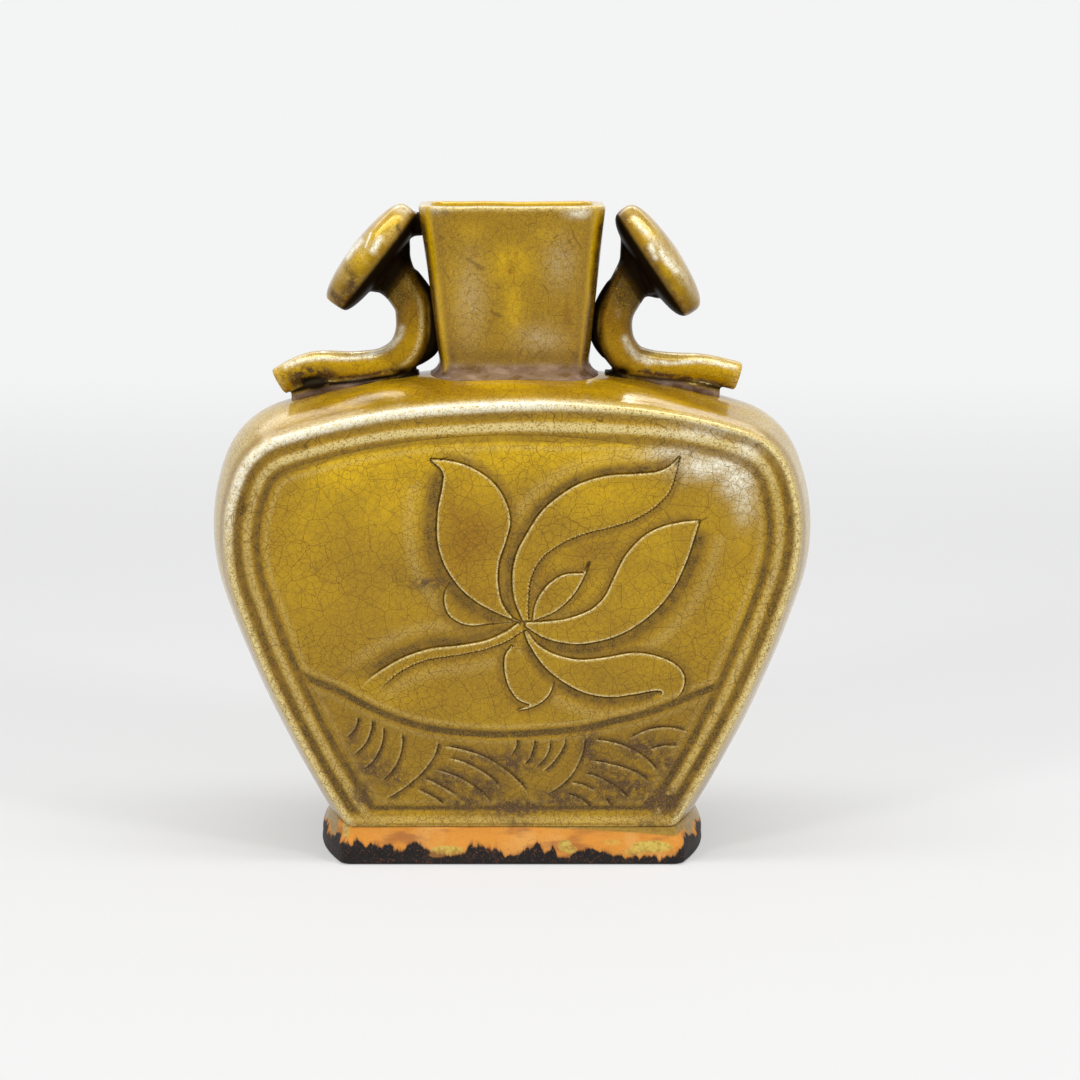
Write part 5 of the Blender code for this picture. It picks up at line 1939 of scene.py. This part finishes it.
@dataclass
class Handle:
    """A rolled stem with a mushroom cap, luted to the shoulder and fused under one glaze."""

    own: HandleSide
    neck: Neck
    stem_radius: float = 0.0062
    reach: float = 0.054
    rise: float = 0.030
    cap_length: float = 0.0422
    cap_depth: float = 0.030
    cap_thickness: float = 0.0118
    cap_roundness: float = 1.65
    section_steps: int = 20
    web_steps: int = 16
    seam_steps: int = 44
    voxel: float = 0.0005
    tones_depth: float = -0.01
    shade_marks_depth: float = -0.005

    def point(self, out: float, up: float) -> Vector:
        """Point beside the neck: out from its end face, and up from the shoulder."""
        _, half_width, _ = self.neck.taper(self.neck.base_height + up)
        x = half_width + out
        crown = float(self.shoulder(x))
        return Vector((self.own.side * x, 0, crown + up))

    def shoulder(self, x: float) -> float:
        """Height of the shoulder's crest beside the neck."""
        crown, corner = OUTLINE.arcs()[:2]
        arc = crown if x <= crown.radius * math.sin(crown.end) else corner
        return arc.centre_z + math.sqrt(arc.radius**2 - (x - arc.centre_x) ** 2)

    def cap_frame(self) -> tuple[Vector, Vector]:
        """The cap's middle and the way its dome faces."""
        tilt = self.own.cap_tilt
        facing = Vector((self.own.side * math.sin(tilt), 0, math.cos(tilt)))
        return self.point(self.own.cap_out, self.own.cap_up), facing

    def add_stem(self, bm: BMesh) -> None:
        """Runs a round-cornered section along the stem's route into the cap's underside."""
        route = self.route()
        self.lay_roll(bm, np.column_stack([route, route[:, 2]]), self.section_steps, 2.5)

    def lay_roll(self, bm: BMesh, rows: Array, steps: int, power: float = 2.0) -> None:
        """Lays a roll of clay along a line at the vase's mid depth.

        Args:
            bm: the handle so far.
            rows: x, z, half width in the picture's plane and half depth for each point.
            steps: points round the roll.
            power: 2 for an oval section, and more for a squarer one.
        """
        runs = np.gradient(rows[:, :2], axis=0)
        rings = []
        for (x, z, wide, deep), (run_x, run_z) in zip(rows, runs):
            along = Vector((run_x, 0, run_z)).normalized()
            across = Vector((along.z, 0, -along.x))
            ring = []
            for angle in 2 * math.pi * np.arange(steps) / steps:
                c, s = math.cos(angle), math.sin(angle)
                out = (abs(c) ** power + abs(s) ** power) ** (-1 / power)
                ring.append(Vector((x, 0, z)) + across * (c * wide * out) + Vector((0, s * deep * out, 0)))
            rings.append(ring)
        skin_rings(bm, rings, capped=True)

    def add_cap(self, bm: BMesh) -> None:
        """A thick oval disc with a low dome and a rounded rim.

        Args:
            bm: the handle so far.
        """
        centre, facing = self.cap_frame()
        half, thick = self.cap_length / 2, self.cap_thickness
        made = bmesh.ops.create_uvsphere(bm, u_segments=48, v_segments=28, radius=1)["verts"]
        for vert in made:
            x, y, z = vert.co
            flat = math.hypot(x, y)
            grow = (1 - (1 - flat) ** self.cap_roundness) if flat < 1 else 1
            if flat > 1e-6:
                x, y = x / flat * grow, y / flat * grow
            z = z * (0.60 if z < 0 else 0.5) * thick + (0.12 * thick * (1 - flat) if z > 0 else 0)
            vert.co = (x * half, y * self.cap_depth / 2, z)
        tilt = Matrix.Rotation(math.atan2(facing.x, facing.z), 4, "Y")
        bmesh.ops.transform(bm, matrix=Matrix.Translation(centre) @ tilt, verts=made)
        if self.own.cut_edge:
            self.trim_cap(bm, made)

    def trim_cap(self, bm: BMesh, cap: list[BMVert]) -> None:
        """Slices the cap's low end off flat, as it was trimmed with a knife.

        Args:
            bm: the handle so far.
            cap: the cap's vertices.
        """
        (ax, az), (bx, bz) = (PHOTO.on_plane(spot, 0) for spot in self.own.cut_edge)
        away = Vector((bz - az, 0, ax - bx))
        chosen = set(cap)
        faces = {face for vert in cap for face in vert.link_faces}
        edges = {edge for face in faces for edge in face.edges}
        cut = bmesh.ops.bisect_plane(
            bm, geom=[*chosen, *edges, *faces], plane_co=(ax, 0, az), plane_no=away, clear_outer=True
        )["geom_cut"]
        bmesh.ops.holes_fill(bm, edges=only(cut, BMEdge), sides=0)

    def add_web(self, bm: BMesh, web: Sequence[tuple[Spot, float, float]]) -> None:
        """Lays a web of clay and glaze along pixels of the photograph, at the vase's mid depth.

        Args:
            bm: the handle so far.
            web: pixel, half width in the picture's plane and half depth for each point.
        """
        points = [(*PHOTO.on_plane(spot, 0), wide, deep) for spot, wide, deep in web]
        self.lay_roll(bm, curve_through(points, 3), self.web_steps)

    def add_seam(self, bm: BMesh) -> None:
        """A roll of slip along the shoulder that fills the gap under the stem's tail.

        Args:
            bm: the handle so far.
        """
        side = self.own.side
        rings = []
        route = self.route()
        for share in np.linspace(0, 1, self.seam_steps):
            x = self.neck.base_half_width + 0.0065 + (self.own.luting_out + 0.0008 - 0.0065) * share
            ground = self.shoulder(x)
            nearest = route[np.abs(route[:, 0] - side * x).argmin()]
            under = min(nearest[1] - 0.55 * nearest[2], ground + 0.008)
            tail = float(ease(0.012, 0.02, np.array(x - self.neck.base_half_width)))
            top = ground + 0.0012 + (under - ground - 0.0012) * tail
            tall = (top - ground + 0.003) / 2
            end = min(1.0, 0.35 + 8 * share, 0.35 + 10 * (1 - share))
            deep = (0.0056 + 0.0006 * math.sin(share * 17)) * (0.6 + 0.4 * end)
            centre = Vector((side * x, 0, top - tall))
            angles = 2 * math.pi * np.arange(self.web_steps) / self.web_steps
            rings.append([centre + Vector((0, deep * math.cos(a), tall * math.sin(a))) for a in angles])
        skin_rings(bm, rings, capped=True)

    def route(self) -> Array:
        """The stem's middle line as (x, z, radius) rows, from the tail into the cap.

        Returns:
            The rows, closely spaced along a smooth curve.
        """
        centre, facing = self.cap_frame()
        points = []
        for out, up, thick in self.own.route_shares:
            place = self.point(self.reach * out, self.rise * up)
            points.append((place.x, place.z, self.stem_radius * thick))
        under = centre - facing * (self.cap_thickness / 2)
        for back, thick in ((0.0035, 1.12), (0.0012, 1.4), (-0.0015, 1.7)):
            place = under - facing * back
            points.append((place.x, place.z, self.stem_radius * thick))
        return curve_through(points, 3)

    def build(self, glaze: Material, dull: Material) -> None:
        """Joins stem, cap, seam and webs, fuses them and paints the glaze.

        Args:
            glaze: the handle's finish.
            dull: finish of painted black shade and bare slip.
        """
        bm = bmesh.new()
        self.add_stem(bm)
        self.add_cap(bm)
        self.add_seam(bm)
        for web in self.own.webs:
            self.add_web(bm, web)
        mesh = mesh_of(bm, f"handle_{self.own.hand}")

        def fuse(holder: Object) -> None:
            """Melts the lumps into one skin."""
            remesh = holder.modifiers.new("fuse", "REMESH")
            remesh.mode = "VOXEL"
            remesh.voxel_size = self.voxel
            remesh.use_smooth_shade = True

        def soften(holder: Object) -> None:
            """Rounds the joints between the lumps."""
            smooth = holder.modifiers.new("soften", "SMOOTH")
            smooth.factor = 0.5
            smooth.iterations = 9

        mesh = evaluated_mesh(mesh, fuse, soften)
        mesh.shade_smooth()
        dulled = self.paint_glaze(mesh)
        hand = self.own.hand
        nodes = (f"handle_stem_{hand}", f"mushroom_cap_{hand}", f"tail_luting_{hand}")
        place_piece(mesh, glaze, nodes)
        # Painted black shade and bare slip take the dull glaze.
        share_faces(mesh, dull, dulled > 0.5)

    def paint_glaze(self, mesh: Mesh) -> Array:
        """Paints pale edges, brown hollows, the ridge along the stem, painted highlights, and painted shade
        under the cap, under the tail and between stem and neck.

        Args:
            mesh: the fused handle.

        Returns:
            How dull each vertex is: painted black shade and bare slip are dull.
        """
        places = vertex_places(mesh)
        x, y, z = places.T
        side = self.own.side
        hollow = hollows(mesh, 0.003)
        centre, facing = self.cap_frame()
        to_cap = places - np.array(centre)
        up_cap = to_cap @ np.array(facing)
        lengthways = np.array((-side * facing.z, 0, abs(facing.x)))
        along_cap = to_cap @ lengthways / (self.cap_length / 2)
        round_cap = np.hypot(to_cap @ lengthways, y)
        on_cap = ease(-0.0068, -0.0052, up_cap) * ease(0.0235, 0.0215, round_cap)
        beneath = ease(0.026, 0.022, round_cap)
        # Painted shade: near black under the cap, where shade falls; it also stands for dark iron glaze
        # there.
        cap_underside_shade = ease(-0.0018, -0.0034, up_cap) * beneath * ease(-0.0165, -0.0095, up_cap)
        route = self.route()
        near = nearness(places[:, [0, 2]], route[:, :2])
        radius = np.interp(near.along, np.linspace(0, 1, len(route)), route[:, 2])
        inwards = near.distance * near.side * side / radius
        stem = 1 - on_cap
        climbing = ease(0.42, 0.58, near.along)
        tail = 1 - ease(0.35, 0.5, near.along)
        seam = ease(0.86, 1.05, inwards) * stem * tail
        ridge = self.own.ridge * swell(inwards - 0.42, 0.13) * climbing * stem
        ridge = ridge * ease(0.95, 0.85, near.along)
        # Painted shade down the stem's side that faces the neck: brown, then black in the gap against the
        # neck.
        inner_side_shade = ease(0.4, 0.75, inwards) * stem * ease(0.3, 0.45, near.along)
        black = ease(0.72, 0.98, inwards) * stem * ease(0.3, 0.42, near.along)
        over = z - np.array([self.shoulder(value) for value in np.abs(x)])
        slip = ease(0.0026, 0.0012, over) * tail
        # Painted shade, near black: marks under the tail, the cap's underside, the gap against the neck and
        # the gap under the tail.
        dulled = blotted(self.own.dulled, "soot", x, z, self.shade_marks_depth)
        soot = np.maximum.reduce([cap_underside_shade, black, dulled, seam * ease(0.0012, 0.0028, over)])
        # Painted shade: the stem's top darkens towards the cap's underside.
        stem_top_shade = ease(-0.031, -0.0155, up_cap) * ease(0.0, -0.004, up_cap) * beneath
        low_end = on_cap * ease(-0.1, -0.8, along_cap)
        # Painted shade on the cap's lower rim.
        cap_rim_shade = on_cap * ease(0.001, -0.0032, up_cap)
        wet = 0.9 * ease(0.00005, 0.0005, hollow) * stem
        pool = np.maximum.reduce([wet, 0.5 * low_end, 0.8 * cap_rim_shade, 0.8 * inner_side_shade, 0.92 * stem_top_shade])
        top = ease(-0.45, -0.9, inwards) * stem * (1 - climbing)
        crest = on_cap * ease(0.001, 0.005, up_cap)
        worn = ease(0.42, 0.6, HAND.waver(x * 5, y * 5, z * 5, 0.9)) * on_cap
        edges = ease(0.00015, 0.0006, -hollow)
        thin = np.maximum.reduce([0.8 * ridge, 0.35 * edges, 0.4 * top, 0.1 * crest, 0.28 * worn])
        # Amber deepens towards the neck's side, and the painted shade below the cap deepens it further.
        amber = (0.22 + 0.3 * ease(-0.4, 0.4, inwards)) * stem + stem_top_shade
        least = {"gold": 0.6 * stem, "amber": amber, "pale": 0, "brown": 0}
        cover = {
            tone: floor + blotted(self.own.tones, tone, x, z, self.tones_depth)
            for tone, floor in least.items()
        }
        calm = 0.45 + 0.45 * on_cap
        paint(mesh, pool=pool, thin=thin * (1 - soot), soot=soot, slip=slip * 0.95, calm=calm, **cover)
        return np.maximum(soot, slip)


WASH_LINE = (
    (323, 836), (333, 842), (343, 845), (347, 839), (351, 846), (357, 840), (364, 846), (376, 844),
    (386, 846), (396, 849), (405, 850), (412, 844), (418, 845), (424, 847), (432, 852), (448, 855),
    (462, 852), (471, 845), (478, 846), (484, 845), (491, 851), (496, 845), (501, 851), (507, 856),
    (520, 855), (529, 848), (534, 844), (540, 846), (546, 852), (553, 847), (558, 856), (566, 859),
    (573, 853), (580, 853), (592, 850), (601, 853), (609, 851), (618, 855), (628, 857), (645, 859),
    (660, 859), (670, 857), (677, 852), (684, 846), (694, 838),
)

GLAZE_LINE = (
    (323, 826), (343, 825.4), (400, 826.5), (470, 827), (530, 828), (590, 831), (640, 834), (675, 837),
    (699, 834),
)

CLAY_BLOTS = (
    *blots("drip", (447, 851, 17, 5, 0.9), (437, 855, 8, 3, 0.7), (565, 846, 7, 6, 0.85),
        (571, 850, 6, 4, 0.8), (652, 847, 20, 6, 0.95), (634, 852, 9, 4, 0.75), (345, 831, 4, 9, 0.8),
        (612, 843, 9, 3, 0.4)),
)


@dataclass
class Foot:
    """The bare foot ring under the body."""

    height: float = 0.013
    half_depth: float = 0.034
    flare: float = 0.0026
    wall: float = 0.0125
    corner: float = 0.002
    segments: int = 640
    levels: int = 34
    px_per_metre: float = 2960.0

    def corner_x(self) -> float:
        """Half width of the ring at the ends of its front, before the flare."""
        return OUTLINE.half(0.0075, 0.002)[-1][0]

    def outline(self, inset: float, depth_inset: float) -> Array:
        """Plan of the ring with bowed ends, moved in by an inset.

        Args:
            inset: distance inwards across.
            depth_inset: distance inwards in depth.

        Returns:
            (x, y) rows round the ring.
        """
        flat = self.corner_x() + self.flare - inset
        middle = OUTLINE.half(0.0, 0.002)[-1][0] + self.flare - inset
        deep = self.half_depth - depth_inset
        x, y = rounded_plan(flat - self.corner, deep - self.corner, self.corner, self.segments)
        bow = (middle - flat) * (1 - (y / deep) ** 2).clip(0) * ease(0.6, 0.98, np.abs(x) / flat)
        return np.column_stack([x + np.sign(x) * bow, y])

    def profile(self) -> list[tuple[float, float]]:
        """The ring's section up its outer side, in over the top and down its inner side.

        Returns:
            (height, inset) rows, in order round the section.
        """
        rows = [(0.0, self.wall * 0.75), (0.0, 0.0011), (0.0003, 0.0005), (0.0008, 0.0001)]
        for step in range(1, self.levels):
            height = 0.0008 + (0.0125 - 0.0008) * step / self.levels
            lean = self.flare * float(ease(0.0045, 0.0128, np.array(height)))
            rows.append((height, lean))
        rows += [(0.0128, self.flare + 0.0004), (self.height, self.flare + 0.0009)]
        rows += [(self.height, self.wall - 0.0006), (0.0124, self.wall)]
        return rows + [(0.0006, self.wall), (0.0, self.wall - 0.0006)]

    def build(self, clay: Material) -> None:
        """Makes the ring and paints wash and drips.

        Args:
            clay: the foot's finish.
        """
        bm = bmesh.new()
        rings = []
        for height, inset in self.profile():
            depth_inset = inset if inset > 0.006 or height < 0.001 else inset * 0.4
            rings.append([(x, y, height) for x, y in self.outline(inset, depth_inset)])
        skin_rings(bm, rings, capped=False)
        mesh = mesh_of(bm, "foot_ring")
        mesh.set_sharp_from_angle(angle=math.radians(60))
        places = vertex_places(mesh)
        x, y, z = places.T
        self.paint_clay(mesh, x, y, z)
        moved = places.copy()
        outer = ease(0.0115, 0.002, self.half_depth - np.abs(y)) + ease(0.05, 0.06, np.abs(x))
        push = 0.0004 * np.clip(outer, 0, 1) * ease(0.0, 0.003, z)
        moved[:, 1] -= np.sign(y) * push * HAND.waver(x * 2, y, z * 2, 0.7)
        moved[:, 0] -= np.sign(x) * push * HAND.waver(x, y * 2, z * 2, 2.7) * (np.abs(x) > 0.045)
        move_vertices(mesh, moved)
        place_piece(mesh, clay, ("foot",))

    def paint_clay(self, mesh: Mesh, x: Array, y: Array, z: Array) -> None:
        """Paints the height over the wash's listed line, the drips, and glaze that runs on to the clay.

        Args:
            mesh: the foot.
            x: places across.
            y: depths.
            z: heights.
        """
        drawn = np.where(y < 0, x, -x)
        wash = np.array([PHOTO.on_plane(spot, -self.half_depth) for spot in WASH_LINE])
        level = np.interp(drawn, *wash.T)
        level = np.where(np.abs(y) > self.half_depth - 0.003, level, 0.0075 + 0.0014 * np.sin(y * 400))
        write_number(mesh, "wash_height", z - level)
        drips = np.zeros(len(x))
        for blot in CLAY_BLOTS:
            middle = PHOTO.on_plane((blot.across, blot.down), -self.half_depth)
            gap = np.hypot((drawn - middle[0]) / blot.wide, (z - middle[1]) / blot.tall) * self.px_per_metre
            drips = np.maximum(drips, blot.strength * ease(1.15, 0.85, gap))
        edge = np.array([PHOTO.on_plane(spot, -self.half_depth) for spot in GLAZE_LINE])
        border = np.interp(drawn, *edge.T)
        ends = ease(0.0585, 0.0605, np.abs(x))
        border = border * (1 - ends) + (0.0085 + 0.001 * np.sin(y * 330)) * ends
        paint(mesh, drip=drips, glaze=ease(border - 0.0003, border + 0.0003, z))


@dataclass
class Studio:
    """Pale table and soft lamps round the vase."""

    table_size: float = 6.0
    back_distance: float = 1.6
    back_height: float = 3.0
    paper_tone: Colour = (0.68, 0.68, 0.68)
    paper_glow: Colour = (0.925, 0.93, 0.93)
    air_light: float = 0.5
    air_shown: float = 0.92
    bend: float = 0.8
    aim: Triple = (0, 0, 0.11)

    def build(self) -> None:
        """Makes the sweep, the lamps and the world."""
        self.build_sweep()
        self.lamp("roof", (0.0, -0.12, 1.15), (1.5, 0.26), 8.5)
        self.lamp("window_left", (-0.85, -0.95, 0.8), (0.24, 0.34), 6.0, shines=False)
        self.lamp("window_right", (0.95, -0.75, 0.85), (0.24, 0.34), 6.0, shines=False)
        self.lamp("roof_glint", (0.0, -0.3, 1.12), (1.2, 0.55), 15.0, lights=False)
        self.lamp("back_glint", (0.0, 0.97, 0.93), (1.7, 0.34), 3.6, lights=False)
        self.lamp("card_left", (-0.18, 0.95, 1.01), (0.06, 0.3), 0.6, lights=False)
        self.lamp("card_right", (0.19, 0.9, 1.06), (0.06, 0.3), 0.6, lights=False)
        self.build_world()
        bpy.context.scene.view_settings.view_transform = "Standard"

    def build_sweep(self) -> None:
        """A table top that bends up into a backdrop."""
        bm = bmesh.new()
        half = self.table_size / 2
        verts = [bm.verts.new((x, -half, 0)) for x in (-half, half)]
        edge = bm.edges.new(verts)
        flat = bmesh.ops.extrude_edge_only(bm, edges=[edge])["geom"]
        moved = only(flat, BMVert)
        bmesh.ops.translate(bm, vec=(0, half + self.back_distance, 0), verts=moved)
        edges = [item for item in only(flat, BMEdge) if all(vert in moved for vert in item.verts)]
        centre = (0, self.back_distance, self.bend)
        spun = bmesh.ops.spin(
            bm, geom=moved + edges, cent=centre, axis=(1, 0, 0), angle=math.pi / 2, steps=24
        )["geom_last"]
        tops = only(spun, BMVert)
        bmesh.ops.extrude_edge_only(bm, edges=only(spun, BMEdge))
        for vert in bm.verts:
            if vert.co.z > self.bend - 1e-4 and vert not in tops:
                vert.co.z = self.back_height
        mesh = mesh_of(bm, "studio_sweep")
        sweep = put_in_scene("studio_sweep", mesh)
        mesh.materials.append(self.paper())

    def paper(self) -> Material:
        """Near-white paper that keeps a soft shadow and shows pale in reflections.

        Returns:
            The material.
        """
        p = Painter("studio_paper")
        diffuse = p.add("BsdfDiffuse", {"Color": self.paper_tone})
        glow = p.add("Emission", {"Color": self.paper_glow})
        away = p.add("SeparateXYZ", {0: p.place})
        share = p.band(away.outputs["Y"], 0.1, 1.3, 0.42, 0.95)
        both = {0: p.math("MULTIPLY", p.shown(), share), 1: diffuse.outputs[0], 2: glow.outputs[0]}
        output = p.tree.nodes["Material Output"]
        p.feed(output.inputs["Surface"], p.add("MixShader", both).outputs[0])
        p.tree.nodes.remove(p.shader)
        return p.material

    def lamp(
        self, name: str, place: Triple, size: Spot, power: float, lights: bool = True, shines: bool = True
    ) -> None:
        """Adds a soft lamp that faces the middle of the vase.

        Args:
            name: the lamp's name.
            place: its middle.
            size: its width and height.
            power: in watts.
            lights: False for one that only shows as a reflection in the glaze.
            shines: False for one that doesn't show in the glaze.
        """
        data = bpy.data.lights.new(name, "AREA")
        data.shape = "RECTANGLE"
        data.size, data.size_y = size
        data.energy = power
        lamp = put_in_scene(name, data)
        lamp.visible_diffuse = lights
        lamp.visible_glossy = shines
        lamp.location = place
        aim = Vector(self.aim) - Vector(place)
        lamp.rotation_euler = aim.to_track_quat("-Z", "Y").to_euler()

    def build_world(self) -> None:
        """Even light all round, shown white in reflections and behind the vase."""
        world = bpy.data.worlds.new("studio_air")
        bpy.context.scene.world = world
        world.use_nodes = True
        wires = Wiring(world.node_tree)
        feeds = {"Value": wires.shown(), "To Min": self.air_light, "To Max": self.air_shown}
        strength = wires.add("MapRange", feeds)
        background = world.node_tree.nodes["Background"]
        wires.feed(background.inputs["Color"], (1, 1, 1))
        wires.feed(background.inputs["Strength"], strength.outputs["Result"])


def main() -> None:
    """Builds the studio and dresses the vase, one sub-assembly after another."""
    logging.basicConfig(level=logging.INFO, format="%(message)s")
    PHOTO.make_camera()
    Studio().build()
    glaze = CrackleGlaze("honey_crackle").make()
    face_glaze = CrackleGlaze("honey_crackle_on_faces", flat=True).make()
    neck_glaze = CrackleGlaze("olive_fine_crackle", cell=0.0026, line_share=0.55).make()
    amber_glaze = CrackleGlaze("amber_crackle", cell=0.0028, sheen=(1.0, 0.78, 0.22), gloss=1.5).make()
    # Dull glaze for the faces in painted black shade and for bare slip.
    dull = CrackleGlaze("dull_glaze_for_shade_and_slip", roughness=0.4, gloss=1.12).make()
    clay = BareClay("bare_foot_clay").make()
    neck = Neck()
    BodySkin().build(glaze, face_glaze, neck.hole())
    neck.build(neck_glaze, dull)
    for own in (LEFT_SIDE, RIGHT_SIDE):
        Handle(own, neck).build(amber_glaze, dull)
    Foot().build(clay)
    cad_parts["floor"].data.materials.clear()
    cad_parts["floor"].data.materials.append(glaze)


if __name__ == "__main__":
    main()
